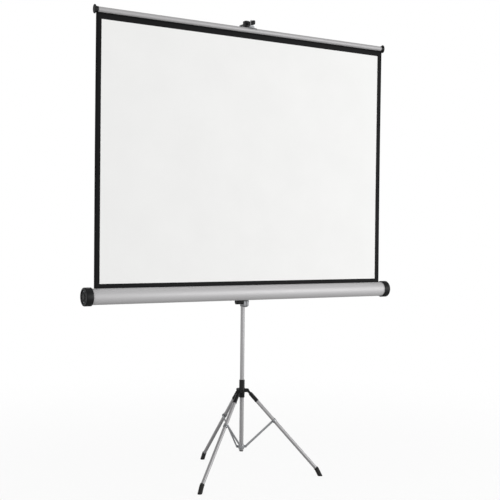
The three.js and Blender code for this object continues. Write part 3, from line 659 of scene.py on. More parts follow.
def fluted_grip(radius, length):
    """A knob along Z with rounded flutes round it and a dished end."""
    shape = bmesh.new()
    around = KNOB_FLUTES * KNOB_FLUTE_STEPS
    bmesh.ops.create_circle(shape, cap_ends=True, segments=around, radius=radius)
    for vert in shape.verts:
        turn = math.atan2(vert.co.y, vert.co.x)
        vert.co *= 1 - KNOB_FLUTE_SHARE * max(0, math.cos(KNOB_FLUTES * turn)) ** 2
    thickened(shape, length)
    softened(shape, SOFT_EDGE)
    top = max(shape.faces, key=lambda face: face.calc_center_median().z)
    bmesh.ops.inset_region(shape, faces=[top], thickness=KNOB_RIM, use_even_offset=True)
    bmesh.ops.translate(shape, verts=top.verts[:], vec=(0, 0, -KNOB_DISH))
    return shape


def make_collar():
    low, high = corners_of("rod_collar")
    seat = COLUMN_HIGH.z + SEAT_GAP
    bore = COLUMN_RADIUS + SEAT_GAP
    rod_room = ROD_RADIUS + SEAT_GAP
    shell = turned([
        (bore, low.z),
        (COLLAR_RADIUS - COLLAR_EDGE, low.z),
        (COLLAR_RADIUS, low.z + COLLAR_EDGE),
        (COLLAR_RADIUS, high.z - COLLAR_EDGE),
        (COLLAR_RADIUS - COLLAR_EDGE, high.z),
        (rod_room, high.z),
        (rod_room, seat),
        (bore, seat),
    ])
    softened(shell, MOULD_EDGE)
    knob_low, knob_high = corners_of("rod_knob")
    centre = (knob_low.z + knob_high.z) / 2
    across = at(0, 0, centre) @ TO_Y
    boss_root = (COLLAR_RADIUS + COLUMN_RADIUS) / 2
    boss = softened(drum(COLLAR_BOSS_RADIUS, boss_root, COLLAR_BOSS_REACH), MOULD_EDGE)
    flutes = []
    flute_low = low.z + 2 * COLLAR_EDGE
    flute_high = centre - COLLAR_BOSS_RADIUS - COLLAR_EDGE
    flute_out = COLLAR_RADIUS + COLLAR_FLUTE / 2
    for step in range(COLLAR_FLUTES):
        turn = TAU * (step + 1 / 2) / COLLAR_FLUTES
        flute = drum(COLLAR_FLUTE, flute_low, flute_high, GROOVE_STEPS)
        flutes.append(moved(flute, at(flute_out * math.cos(turn), flute_out * math.sin(turn), 0)))
    stud_room = room_for(STUD_RADIUS, 0, COLLAR_BOSS_REACH + OVERRUN, across)
    collar = cut(joined(shell, moved(boss, across)), stud_room, *flutes)
    dress("rod_collar", moved(collar, ON_COLUMN), "column", BLACK)
    grip_low = COLLAR_BOSS_REACH + SEAT_GAP
    grip = fluted_grip((knob_high.x - knob_low.x) / 2, knob_high.y - COLUMN_BACK - grip_low)
    stud = drum(STUD_RADIUS, ROD_RADIUS + SEAT_GAP, grip_low + KNOB_RIM)
    knob = joined(moved(grip, at(0, 0, grip_low)), softened(stud, FINE_EDGE))
    dress("rod_knob", moved(knob, ON_COLUMN @ across), "rod_knob", BLACK)


# Hub and pins
HUB_BORE = COLUMN_RADIUS + SLIDE_GAP
HUB_SLEEVE = HUB_BORE + 2.6 * MM
HUB_CORE = HUB_BORE + 3.6 * MM
HUB_PIVOT = 26 * MM
HUB_CORE_BELOW = 13 * MM
HUB_CORE_ABOVE = 11 * MM
HUB_CHAMFER = 2 * MM
LUG_INNER = 6.3 * MM
LUG_THICKNESS = 4 * MM
LUG_RADIUS = 7.5 * MM
LEG_PIN_RADIUS = 2.5 * MM
PIN_HEAD_RADIUS = 4.5 * MM
PIN_HEAD = 1.4 * MM
HUB_HEIGHT = middle_of("leg_pin_rear").z
AT_LEG_PIVOT = at(HUB_PIVOT, 0, HUB_HEIGHT)


def make_hub():
    low, high = corners_of("hub")
    core_low = HUB_HEIGHT - HUB_CORE_BELOW
    core_high = HUB_HEIGHT + HUB_CORE_ABOVE
    body = turned([
        (HUB_BORE, low.z),
        (HUB_SLEEVE, low.z),
        (HUB_SLEEVE, core_low - HUB_CHAMFER),
        (HUB_CORE, core_low),
        (HUB_CORE, core_high),
        (HUB_SLEEVE, core_high + HUB_CHAMFER),
        (HUB_SLEEVE, high.z - HUB_CHAMFER / 2),
        (HUB_SLEEVE - HUB_CHAMFER / 2, high.z),
        (HUB_BORE, high.z),
    ])
    softened(body, CRISP_EDGE)
    lugs = []
    holes = []
    reach = HUB_PIVOT - HUB_CORE + HUB_CHAMFER
    wide = LUG_INNER + LUG_THICKNESS + OVERRUN
    for name in LEG_NAMES:
        turn = towards_leg(name)
        for side in SIDES:
            lug = softened(strip(LUG_RADIUS, reach, LUG_THICKNESS), MOULD_EDGE)
            across = side * (LUG_INNER + LUG_THICKNESS / 2)
            root = at(HUB_PIVOT - reach, across, HUB_HEIGHT)
            lugs.append(moved(lug, turn @ root @ TO_X))
        holes.append(room_for(LEG_PIN_RADIUS, -wide, wide, turn @ AT_LEG_PIVOT @ TO_Y))
    room = drum(HUB_BORE, low.z - OVERRUN, high.z + OVERRUN, TUBE_STEPS)
    hub = cut(joined(body, *lugs), room, *holes)
    dress("hub", moved(hub, ON_COLUMN), "hub", BLACK)


def make_leg_pin(name):
    seat = LUG_INNER + LUG_THICKNESS + SEAT_GAP
    head = dome_head(PIN_HEAD_RADIUS, PIN_HEAD, seat)
    far_head = [(radius, -height) for radius, height in reversed(head)]
    pin = turned([*far_head, (LEG_PIN_RADIUS, -seat), (LEG_PIN_RADIUS, seat), *head], PIN_STEPS)
    dress(f"leg_pin_{name}", moved(pin, round_column(name) @ AT_LEG_PIVOT @ TO_Y), "hub", BLACK_STEEL)


# Legs
LEG_TILT = math.radians(41.7)
LEG_RADIUS = 8 * MM
LEG_WALL = 1 * MM
LEG_TOP = 28 * MM
EYE_THICKNESS = 12 * MM
FITTING_RADIUS = 9.6 * MM
FITTING_TOP = 20 * MM
FITTING_END = 65 * MM
FITTING_BEAD = 0.7 * MM
FOOT_TILT = math.radians(27.2)
FOOT_RADIUS = 10 * MM
FOOT_DROP = 30.6 * MM
FOOT_BEND = (HUB_HEIGHT - FOOT_DROP) / math.cos(LEG_TILT)
FOOT_SLEEVE = 9 * MM
FOOT_INSIDE = 3 * MM
FOOT_GROOVE = 0.9 * MM
FOOT_RINGS = 2
FOOT_RING_PITCH = 2.8 * MM
BEND_STEPS = 8
CLIP_PLACE = 185 * MM
CLIP_BAND = 1.7 * MM
CLIP_LENGTH = 14 * MM


def down_leg(name):
    """The place of a form drawn up along Z, so that it runs down the leg from the leg's pin."""
    return round_column(name) @ AT_LEG_PIVOT @ about("Y", HALF_TURN - LEG_TILT)


def fitting_form():
    eye = moved(drum(LUG_RADIUS, -EYE_THICKNESS / 2, EYE_THICKNESS / 2, TUBE_STEPS), TO_Y)
    neck = strip(LUG_RADIUS - HUB_CHAMFER, FITTING_TOP, EYE_THICKNESS)
    socket = turned([
        (0, FITTING_TOP - HUB_CHAMFER),
        (FITTING_RADIUS - HUB_CHAMFER, FITTING_TOP - HUB_CHAMFER),
        (FITTING_RADIUS - FITTING_BEAD, FITTING_TOP),
        (FITTING_RADIUS - FITTING_BEAD, FITTING_END - OVERRUN - FITTING_BEAD),
        (FITTING_RADIUS, FITTING_END - OVERRUN),
        (FITTING_RADIUS, FITTING_END),
        (0, FITTING_END),
    ])
    parts = [softened(part, MOULD_EDGE) for part in (eye, neck, socket)]
    pin_room = room_for(LEG_PIN_RADIUS, -EYE_THICKNESS, EYE_THICKNESS, TO_Y)
    tube_room = room_for(LEG_RADIUS, LEG_TOP - SEAT_GAP, FITTING_END + OVERRUN, steps=TUBE_STEPS)
    return cut(joined(*parts), pin_room, tube_room)


def clip_form():
    radius = LEG_RADIUS + SEAT_GAP + CLIP_BAND
    band = drum(radius, CLIP_PLACE - CLIP_LENGTH / 2, CLIP_PLACE + CLIP_LENGTH / 2, TUBE_STEPS)
    boss = softened(drum(BRACE_WIDTH / 2, 0, CLIP_FACE), METAL_EDGE)
    boss = moved(boss, at(0, 0, CLIP_PLACE) @ TO_Y)
    tube_room = room_for(LEG_RADIUS, 0, CLIP_PLACE + CLIP_LENGTH, steps=TUBE_STEPS)
    return cut(joined(softened(band, METAL_EDGE), boss), tube_room)


def foot_form(name):
    """A ringed rubber foot over the tube's end, bent towards the floor and flat where it stands."""
    top = FOOT_BEND - FOOT_SLEEVE
    low = FOOT_BEND + 2 * FOOT_DROP
    outline = [(0, top), (FOOT_RADIUS - MOULD_EDGE, top), (FOOT_RADIUS, top + MOULD_EDGE)]
    for ring in range(FOOT_RINGS):
        height = top + FOOT_RING_PITCH * (ring + 1)
        outline += [
            (FOOT_RADIUS, height - FOOT_GROOVE),
            (FOOT_RADIUS - FOOT_GROOVE, height),
            (FOOT_RADIUS, height + FOOT_GROOVE),
        ]
    straight = [FOOT_BEND + FOOT_RADIUS * step / BEND_STEPS for step in range(1, BEND_STEPS)]
    outline += [(FOOT_RADIUS, height) for height in straight] + [(FOOT_RADIUS, low), (0, low)]
    foot = turned(outline)
    for vert in foot.verts:
        below = vert.co.z - FOOT_BEND
        past = min(1, max(0, below / FOOT_RADIUS + 1 / 2))
        turn = about("Y", (LEG_TILT - FOOT_TILT) * past)
        vert.co = turn @ Vector((vert.co.x, vert.co.y, below)) + Vector((0, 0, FOOT_BEND))
    tube_room = room_for(LEG_RADIUS, 0, FOOT_BEND - FOOT_INSIDE + SEAT_GAP, steps=TUBE_STEPS)
    foot = moved(cut(foot, tube_room), down_leg(name))
    everything = foot.verts[:] + foot.edges[:] + foot.faces[:]
    bmesh.ops.bisect_plane(
        foot, geom=everything, plane_co=(0, 0, 0), plane_no=(0, 0, -1), clear_outer=True
    )
    rim = [edge for edge in foot.edges if edge.is_boundary]
    bmesh.ops.contextual_create(foot, geom=rim)
    return closed_up(foot)


def make_leg(name):
    body = f"leg_{name}"
    place = down_leg(name)
    dress(f"leg_fitting_{name}", moved(fitting_form(), place), body, BLACK)
    tube = pipe(LEG_RADIUS, LEG_RADIUS - LEG_WALL, LEG_TOP, FOOT_BEND - FOOT_INSIDE)
    dress(f"leg_tube_{name}", moved(tube, place), body, TUBE_SILVER_PAINTED_SHADE)
    dress(f"brace_clip_{name}", moved(clip_form(), place), body, ZINC)
    dress(f"foot_{name}", foot_form(name), body, RUBBER)


# Braces
BRACE_WAIST = 10 * MM
BRACE_BLEND = 12 * MM
BRACE_BEAD = 1 * MM
BRACE_BEAD_EDGE = 0.75 * MM
BRACE_BEAD_WIDTH = 4.4 * MM
BRACE_BEAD_END = 16 * MM
CLIP_ACROSS = HUB_PIVOT + CLIP_PLACE * math.sin(LEG_TILT)
CLIP_HEIGHT = HUB_HEIGHT - CLIP_PLACE * math.cos(LEG_TILT)
BRACE_LENGTH = math.hypot(CLIP_ACROSS - SPIDER_RADIUS, CLIP_HEIGHT - SPIDER_HEIGHT)
BRACE_SLOPE = math.atan2(CLIP_ACROSS - SPIDER_RADIUS, CLIP_HEIGHT - SPIDER_HEIGHT)


def brace_plate():
    """The strip up along Z from the centre of its lower eye. It is narrower between its two round eyes."""
    radius = BRACE_WIDTH / 2
    waist = BRACE_WAIST / 2
    meet = math.acos(waist / radius)
    low_eye = arc(radius, HALF_TURN - meet, TAU + meet, PIN_STEPS)
    high_eye = arc(radius, -meet, HALF_TURN + meet, PIN_STEPS)
    outline = low_eye + [(across, up + BRACE_LENGTH) for across, up in high_eye]
    plate = pushed(outline, BRACE_THICKNESS)
    corners = [
        edge for edge in along(plate, 2)
        if 0 < edge.verts[0].co.y < BRACE_LENGTH and abs(abs(edge.verts[0].co.x) - waist) < WELD
    ]
    softened(plate, BRACE_BLEND, corners, DOME_STEPS)
    return stood_up(softened(plate, METAL_EDGE), BRACE_THICKNESS)


def make_brace(name):
    """A flat pressed strip with a stiffening bead, and the rivet that closes on the leg's clip."""
    plate = moved(brace_plate(), at(0, (BRACE_INNER + BRACE_OUTER) / 2, 0))
    bead = strip(BRACE_BEAD_WIDTH / 2, BRACE_LENGTH - 2 * BRACE_BEAD_END, 2 * BRACE_BEAD)
    bead = moved(softened(bead, BRACE_BEAD_EDGE), at(0, BRACE_OUTER, BRACE_BEAD_END))
    eyes = [
        room_for(RIVET_RADIUS, 0, BRACE_OUTER + OVERRUN, at(0, 0, up) @ TO_Y)
        for up in (0, BRACE_LENGTH)
    ]
    body = f"brace_{name}"
    place = round_column(name) @ AT_SPIDER_PIVOT @ about("Y", BRACE_SLOPE)
    dress(f"brace_{name}", moved(cut(joined(plate, bead), *eyes), place), body, ZINC)
    pin = rivet(RIVET_RADIUS, BRACE_INNER, RIVET_HEAD_RADIUS, RIVET_SEAT, RIVET_HEAD)
    pin = moved(pin, round_column(name) @ at(CLIP_ACROSS, 0, CLIP_HEIGHT) @ TO_Y)
    dress(f"brace_rivet_{name}", pin, body, STEEL)


# Case bracket, clamp and cradle
BRACKET_BORE = COLUMN_RADIUS + SLIDE_GAP
BRACKET_HALF = BRACKET_BORE + 2.6 * MM
BRACKET_FRONT = BRACKET_BORE + 5.4 * MM
BRACKET_LOW, BRACKET_HIGH = corners_of("case_bracket")
BRACKET_CORNER = 12 * MM
EAR_REACH = 31 * MM
EAR_HEIGHT = 34 * MM
EAR_CORNER = 9 * MM
EAR_SLIT = 2.4 * MM
EAR_SLIT_EXTRA = 4 * MM
CLAMP_FORWARD = 20 * MM
CLAMP_BELOW = 43 * MM
CLAMP_LINE = at(0, -CLAMP_FORWARD, CASE_CENTRE.z - CLAMP_BELOW) @ TO_X
BOLT_RADIUS = 3 * MM
NUT_RADIUS = 5.8 * MM
NUT_LENGTH = 5 * MM
NUT_SIDES = 6
CRADLE_WALL = 1.6 * MM
CRADLE_LENGTH = 130 * MM
CRADLE_ANGLE = math.radians(50)
SWIVEL_RADIUS = 5 * MM
SWIVEL_HEAD_RADIUS = 9 * MM
SWIVEL_HEAD = 1.2 * MM
CASE_WALL = 1.2 * MM
CASE_INNER = CASE_RADIUS - CASE_WALL
CASE_FORWARD = COLUMN_BACK - CASE_CENTRE.y


def make_bracket():
    low, high = BRACKET_LOW.z, BRACKET_HIGH.z
    back = arc(BRACKET_HALF, 0, HALF_TURN, TUBE_STEPS // 2)
    plan = [(-BRACKET_HALF, -BRACKET_FRONT), (BRACKET_HALF, -BRACKET_FRONT), *back]
    sleeve = moved(pushed(plan, high - low), at(0, 0, low))
    ears = block((-BRACKET_HALF, -EAR_REACH, low), (BRACKET_HALF, -BRACKET_BORE / 2, low + EAR_HEIGHT))
    front_edges = [edge for edge in along(ears, 0) if edge.verts[0].co.y < -BRACKET_FRONT]
    softened(ears, EAR_CORNER, front_edges, CORNER_STEPS)
    shield = block((-BRACKET_HALF, -2 * EAR_REACH, low), (BRACKET_HALF, EAR_REACH, high))
    low_edges = [edge for edge in along(shield, 1) if edge.verts[0].co.z < (low + high) / 2]
    softened(shield, BRACKET_CORNER, low_edges, CORNER_STEPS)
    body = softened(common(joined(sleeve, ears), shield), CAST_EDGE)
    slit_top = low + EAR_HEIGHT + EAR_SLIT_EXTRA
    rooms = [
        drum(BRACKET_BORE, low - OVERRUN, high + OVERRUN, TUBE_STEPS),
        block((-EAR_SLIT / 2, -EAR_REACH - OVERRUN, low - OVERRUN), (EAR_SLIT / 2, 0, slit_top)),
        room_for(BOLT_RADIUS, -2 * BRACKET_HALF, 2 * BRACKET_HALF, CLAMP_LINE),
        room_for(SWIVEL_RADIUS, -2 * BRACKET_FRONT, 0, at(0, 0, CASE_CENTRE.z) @ TO_Y),
    ]
    dress("case_bracket", moved(cut(body, *rooms), ON_COLUMN), "case", CAST_ZINC)


def make_clamp():
    line = ON_COLUMN @ CLAMP_LINE
    nut_low = BRACKET_HALF + SEAT_GAP
    nut = softened(drum(NUT_RADIUS, nut_low, nut_low + NUT_LENGTH, NUT_SIDES), TURNED_EDGE)
    nut = cut(nut, room_for(BOLT_RADIUS, 0, 2 * BRACKET_HALF))
    dress("clamp_nut", moved(nut, line), "case", STEEL)
    bolt_low, bolt_high = corners_of("clamp_bolt")
    bolt = softened(drum(BOLT_RADIUS, bolt_low.x, bolt_high.x), FINE_EDGE)
    dress("clamp_bolt", moved(bolt, line), "case_knob", STEEL)
    knob_low, knob_high = corners_of("case_knob")
    grip = fluted_grip((knob_high.z - knob_low.z) / 2, knob_high.x - knob_low.x)
    grip = cut(grip, room_for(BOLT_RADIUS, -OVERRUN, knob_high.x - bolt_low.x + SEAT_GAP))
    grip = moved(grip, line @ at(0, 0, knob_high.x) @ UPSIDE_DOWN)
    dress("case_knob", grip, "case_knob", BLACK)


def make_cradle():
    inner = CASE_RADIUS + SEAT_GAP
    outer = inner + CRADLE_WALL
    section = arc(outer, -CRADLE_ANGLE, CRADLE_ANGLE, SADDLE_STEPS)
    section += arc(inner, CRADLE_ANGLE, -CRADLE_ANGLE, SADDLE_STEPS)
    saddle = pushed_along_x(section, -CRADLE_LENGTH / 2, CRADLE_LENGTH / 2, METAL_EDGE)
    cradle = cut(saddle, room_for(SWIVEL_RADIUS, 0, 2 * outer, TO_Y))
    dress("case_cradle", moved(cradle, ON_CASE), "case", ZINC)
    head_face = CASE_FORWARD - CASE_INNER + SEAT_GAP
    shank = drum(SWIVEL_RADIUS, -head_face - SWIVEL_HEAD / 2, -BRACKET_BORE - SEAT_GAP)
    head = drum(SWIVEL_HEAD_RADIUS, -head_face - SWIVEL_HEAD, -head_face, TUBE_STEPS)
    # The head's face follows the inside of the round shell that it lies against
    shell_room = drum(CASE_INNER - SEAT_GAP, -CASE_RADIUS, CASE_RADIUS, CASE_STEPS)
    moved(shell_room, at(0, -CASE_FORWARD, 0) @ TO_X)
    bolt = joined(moved(softened(shank, FINE_EDGE), TO_Y), common(moved(head, TO_Y), shell_room))
    dress("swivel_bolt", moved(bolt, ON_COLUMN @ at(0, 0, CASE_CENTRE.z)), "case", STEEL)


# Case shell and its end caps
SLOT_HALF = 6 * MM
SLOT_LIP = 5 * MM
CAP_FILLET = 4 * MM
CAP_DISH = 3 * MM
CAP_RIM = 9 * MM
CAP_SOCKET = 11 * MM
CAP_SPIGOT = 4 * MM
CAP_RIB = 3 * MM
CAP_RIBS = 6
CAP_RIB_BELOW = 1.5 * MM
CAP_HUB = 11 * MM
CAP_HUB_BELOW = 1 * MM
CAP_SHOULDER = CASE_HIGH.x - CAP_SOCKET
CAP_INSIDE = CAP_SHOULDER - CAP_SPIGOT + SEAT_GAP
AXLE_RADII = {-1: 3 * MM, 1: 4 * MM}
BEARING_DEPTH = 12 * MM
SCREW_RADIUS = 1.7 * MM
SCREW_HEAD_RADIUS = 3.4 * MM
SCREW_HEAD = 1.8 * MM
SCREW_LENGTH = 8 * MM
SCREW_CROSS = 0.8 * MM
SCREW_CROSS_REACH = SCREW_HEAD_RADIUS * 2 / 3
SCREW_CROSS_DEPTH = 0.7 * MM
SCREW_HEIGHTS = {"upper": 22 * MM, "lower": -22 * MM}


def make_case_shell():
    section = slotted_section(CASE_RADIUS, CASE_WALL, SLOT_HALF, SLOT_LIP, CASE_STEPS)
    shell = pushed_along_x(section, CASE_LOW.x, CASE_HIGH.x, METAL_EDGE)
    shell = cut(shell, room_for(SWIVEL_RADIUS, 0, 2 * CASE_RADIUS, TO_Y))
    dress("case_shell", moved(shell, ON_CASE), "case", SILVER)


def cap_form(radius, outer):
    """An end cap along Z: a spigot in the shell, a socket over the shell's end, and a ribbed dish outside."""
    shell_end = CASE_HIGH.x + SEAT_GAP
    spigot = CASE_INNER - SEAT_GAP
    socket = CASE_RADIUS + SEAT_GAP
    dish = outer - CAP_DISH
    body = turned([
        (0, CAP_INSIDE),
        (spigot, CAP_INSIDE),
        (spigot, shell_end),
        (socket, shell_end),
        (socket, CAP_SHOULDER),
        (radius, CAP_SHOULDER),
        *rounded_rim(radius, outer, CAP_FILLET, CORNER_STEPS),
        (radius - CAP_RIM, outer),
        (radius - CAP_RIM, dish),
        (0, dish),
    ], CASE_STEPS)
    softened(body, CRISP_EDGE)
    pad = softened(drum(CAP_HUB, dish - CAP_DISH, outer - CAP_HUB_BELOW, TUBE_STEPS), MOULD_EDGE)
    ribs = []
    for step in range(CAP_RIBS):
        rib_end = (radius - CAP_RIM / 2, CAP_RIB / 2, outer - CAP_RIB_BELOW)
        rib = softened(block((0, -CAP_RIB / 2, dish - CAP_DISH), rib_end), MOULD_EDGE)
        ribs.append(moved(rib, about("Z", TAU * (step + 1 / 2) / CAP_RIBS)))
    return joined(body, pad, *ribs)


def crossed_screw(seat):
    """A screw along Z whose head stands on seat, with a cross cut into it."""
    screw = turned([
        (0, seat - SCREW_LENGTH),
        (SCREW_RADIUS, seat - SCREW_LENGTH),
        (SCREW_RADIUS, seat),
        (SCREW_HEAD_RADIUS, seat),
        (SCREW_HEAD_RADIUS, seat + SCREW_HEAD / 2),
        (SCREW_HEAD_RADIUS / 2, seat + SCREW_HEAD),
        (0, seat + SCREW_HEAD),
    ], PIN_STEPS)
    softened(screw, FINE_EDGE)
    floor = seat + SCREW_HEAD - SCREW_CROSS_DEPTH
    long, short = SCREW_CROSS_REACH, SCREW_CROSS / 2
    slots = [
        block((-across, -up, floor), (across, up, seat + OVERRUN))
        for across, up in ((long, short), (short, long))
    ]
    return cut(screw, *slots)


def make_end_cap(side):
    name = SIDES[side]
    low, high = corners_of(f"end_cap_{name}")
    outer = high.x if side > 0 else -low.x
    dish = outer - CAP_DISH
    flip = facing(side)
    lip_room = SLOT_HALF + CASE_WALL + SEAT_GAP
    lip_low = math.sqrt(CASE_RADIUS ** 2 - SLOT_HALF ** 2) - SLOT_LIP - SEAT_GAP
    ends = sorted((0, side * (CASE_HIGH.x + SEAT_GAP)))
    notch = block((ends[0], -lip_room, lip_low), (ends[1], lip_room, CASE_INNER + SEAT_GAP))
    roller_back = middle_of("roller_tube").y - CASE_CENTRE.y
    axle_place = at(0, roller_back, 0) @ flip
    axle_room = room_for(AXLE_RADII[side], 0, CAP_INSIDE + BEARING_DEPTH, axle_place)
    screw_rooms = [
        room_for(SCREW_RADIUS, dish - SCREW_LENGTH, outer + OVERRUN, at(0, 0, up) @ flip)
        for up in SCREW_HEIGHTS.values()
    ]
    cap = moved(cap_form((high.y - low.y) / 2, outer), flip)
    cap = cut(cap, notch, axle_room, *screw_rooms)
    dress(f"end_cap_{name}", moved(cap, ON_CASE), "case", BLACK)
    for level, up in SCREW_HEIGHTS.items():
        screw = moved(crossed_screw(dish + SEAT_GAP), ON_CASE @ at(0, 0, up) @ flip)
        dress(f"cap_screw_{name}_{level}", screw, "case", STEEL)


# Spring roller
ROLLER_LOW, ROLLER_HIGH = corners_of("roller_tube")
ROLLER_RADIUS = (ROLLER_HIGH.z - ROLLER_LOW.z) / 2
ROLLER_END = ROLLER_HIGH.x
ROLLER_WALL = 1 * MM
ROLLER_INNER = ROLLER_RADIUS - ROLLER_WALL
ON_ROLLER = at(0, (ROLLER_LOW.y + ROLLER_HIGH.y) / 2, (ROLLER_LOW.z + ROLLER_HIGH.z) / 2)
PLUG_FLANGE = 2 * MM
PLUG_SPIGOT = 20 * MM
SPRING_RADIUS = 7.5 * MM
SPRING_WIRE = 1 * MM
SPRING_TURNS = 36
SPRING_TURN_STEPS = 20
SPRING_SIDES = 8


def make_roller_plug(side):
    bore = AXLE_RADII[side] + SEAT_GAP
    spigot = ROLLER_INNER - SEAT_GAP
    flange = ROLLER_END + SEAT_GAP
    plug = turned([
        (bore, ROLLER_END - PLUG_SPIGOT),
        (spigot, ROLLER_END - PLUG_SPIGOT),
        (spigot, flange),
        (ROLLER_RADIUS, flange),
        (ROLLER_RADIUS, flange + PLUG_FLANGE),
        (bore, flange + PLUG_FLANGE),
    ])
    softened(plug, CRISP_EDGE)
    dress(f"roller_plug_{SIDES[side]}", moved(plug, ON_ROLLER @ facing(side)), "roller", BLACK)


def make_roller():
    tube = pipe(ROLLER_RADIUS, ROLLER_INNER, -ROLLER_END, ROLLER_END)
    dress("roller_tube", moved(tube, ON_ROLLER @ TO_X), "roller", ZINC)
    for side in SIDES:
        make_roller_plug(side)
    axles = (("gudgeon_pin", AXLE_RADII[-1], "roller"), ("spring_arbor", AXLE_RADII[1], "case"))
    for node, radius, body in axles:
        low, high = corners_of(node)
        axle = softened(drum(radius, low.x, high.x), TURNED_EDGE)
        dress(node, moved(axle, ON_ROLLER @ TO_X), body, STEEL)
    low, high = corners_of("spring_anchor")
    bore = AXLE_RADII[1] + SEAT_GAP
    anchor = pipe(ROLLER_INNER - SEAT_GAP, bore, low.x, high.x, edge=MOULD_EDGE)
    dress("spring_anchor", moved(anchor, ON_ROLLER @ TO_X), "roller", BLACK)


def make_spring():
    low, high = corners_of("roller_spring")
    span = high.x - low.x - 2 * SPRING_WIRE
    wire = bmesh.new()
    bmesh.ops.create_circle(wire, cap_ends=False, segments=SPRING_SIDES, radius=SPRING_WIRE)
    moved(wire, at(SPRING_RADIUS, 0, low.x + SPRING_WIRE) @ LIE_BACK)
    steps = SPRING_TURNS * SPRING_TURN_STEPS
    bmesh.ops.spin(
        wire,
        geom=wire.verts[:] + wire.edges[:],
        cent=(0, 0, 0),
        axis=(0, 0, 1),
        dvec=(0, 0, span / steps),
        angle=TAU * SPRING_TURNS,
        steps=steps,
        use_merge=False,
        use_duplicate=False,
    )
    ends = [edge for edge in wire.edges if edge.is_boundary]
    bmesh.ops.holes_fill(wire, edges=ends, sides=SPRING_SIDES)
    bmesh.ops.recalc_face_normals(wire, faces=wire.faces[:])
    dress("roller_spring", moved(wire, ON_ROLLER @ TO_X), "case", SPRING)


# Top rail, its caps and its clip
RAIL_WALL = 1.5 * MM
RAIL_SLOT_HALF = 1.5 * MM
RAIL_SOCKET = RAIL_RADIUS + SEAT_GAP
SLEEVE_WALL = 1 * MM
SLEEVE_LENGTH = 11 * MM
DISC_FILLET = 2 * MM
CLIP_SADDLE_LENGTH = 44 * MM
CLIP_SADDLE_WALL = 2 * MM
CLIP_SADDLE_END = math.radians(25)
CLIP_PAD_HALF = 13 * MM
CLIP_PAD_DEPTH = 8 * MM
CLIP_PAD_SLOPE = 2 * MM


def make_rail():
    section = slotted_section(RAIL_RADIUS, RAIL_WALL, RAIL_SLOT_HALF, RAIL_WALL, TUBE_STEPS)
    tube = pushed_along_x(section, RAIL_LOW.x, RAIL_HIGH.x, METAL_EDGE)
    moved(tube, UPSIDE_DOWN)
    dress("top_rail", moved(tube, ON_RAIL), "rail", RAIL_SILVER_PAINTED_SHADE)


def make_rail_cap(side):
    """An oval plate over the rail's end with a sleeve round the rail, drawn up along Z."""
    name = SIDES[side]
    low, high = corners_of(f"rail_cap_{name}")
    radius = (high.z - low.z) / 2
    disc_low = RAIL_HIGH.x + SEAT_GAP
    disc_high = high.x if side > 0 else -low.x
    plate = turned([
        (0, disc_low),
        (radius - MOULD_EDGE, disc_low),
        (radius, disc_low + MOULD_EDGE),
        *rounded_rim(radius, disc_high, DISC_FILLET, DOME_STEPS),
        (RAIL_SOCKET, disc_high),
        (RAIL_SOCKET - MOULD_EDGE, disc_high - MOULD_EDGE),
        (0, disc_high - MOULD_EDGE),
    ])
    moved(plate, Matrix.Diagonal((1, (high.y - low.y) / (high.z - low.z), 1, 1)))
    sleeve_low = disc_low - SLEEVE_LENGTH
    sleeve = pipe(RAIL_SOCKET + SLEEVE_WALL, RAIL_SOCKET, sleeve_low, disc_low + DISC_FILLET)
    cap = moved(joined(plate, sleeve), facing(side))
    slot = block((-disc_low, -RAIL_SLOT_HALF, -2 * radius), (disc_low, RAIL_SLOT_HALF, 0))
    dress(f"rail_cap_{name}", moved(cut(cap, slot), ON_RAIL), "rail", BLACK)


def make_rail_clip():
    """A saddle over the rail with a sloped pad on top."""
    start, end = CLIP_SADDLE_END, HALF_TURN - CLIP_SADDLE_END
    section = arc(RAIL_SOCKET + CLIP_SADDLE_WALL, start, end, SADDLE_STEPS)
    section += arc(RAIL_SOCKET, end, start, SADDLE_STEPS)
    saddle = pushed_along_x(section, -CLIP_SADDLE_LENGTH / 2, CLIP_SADDLE_LENGTH / 2, MOULD_EDGE)
    pad_high = corners_of("rail_clip")[1].z - RAIL_CENTRE.z
    half_depth = CLIP_PAD_DEPTH / 2
    pad = block((-CLIP_PAD_HALF, -half_depth, RAIL_RADIUS), (CLIP_PAD_HALF, half_depth, pad_high))
    for vert in pad.verts:
        if vert.co.z > RAIL_RADIUS:
            vert.co.x -= math.copysign(CLIP_PAD_SLOPE, vert.co.x)
    softened(pad, MOULD_EDGE)
    rail_room = room_for(RAIL_RADIUS, -CLIP_SADDLE_LENGTH, CLIP_SADDLE_LENGTH, TO_X, TUBE_STEPS)
    dress("rail_clip", moved(cut(joined(saddle, pad), rail_room), ON_RAIL), "rail", ZINC)


# Extension rod, head, hook arm and hanger
HEAD_CORNER = 5 * MM
ARM_HALF = 4 * MM
ARM_HALF_BAR = 4.5 * MM
ARM_TAIL = 50 * MM
ARM_NOSE_HEIGHT = 19 * MM
ARM_NOSE_START = 27 * MM
ARM_NOSE_END = 75 * MM
ARM_NOSE_DROP = 3 * MM
ARM_NOSE_CORNER = 6 * MM
ARM_NOTCH = 2.5 * MM
ARM_NOTCH_PITCH = 8 * MM
ARM_NOTCHES = 2
ARM_DROP = 26 * MM
ARM_HEIGHT = RAIL_HIGH.z + ARM_DROP
NOSE_HIGH = ARM_HEIGHT - ARM_NOSE_DROP + ARM_NOSE_HEIGHT / 2
NOSE_LOW = NOSE_HIGH - ARM_NOSE_HEIGHT
HANGER_WALL = 2.6 * MM
HANGER_DEPTH = 5 * MM


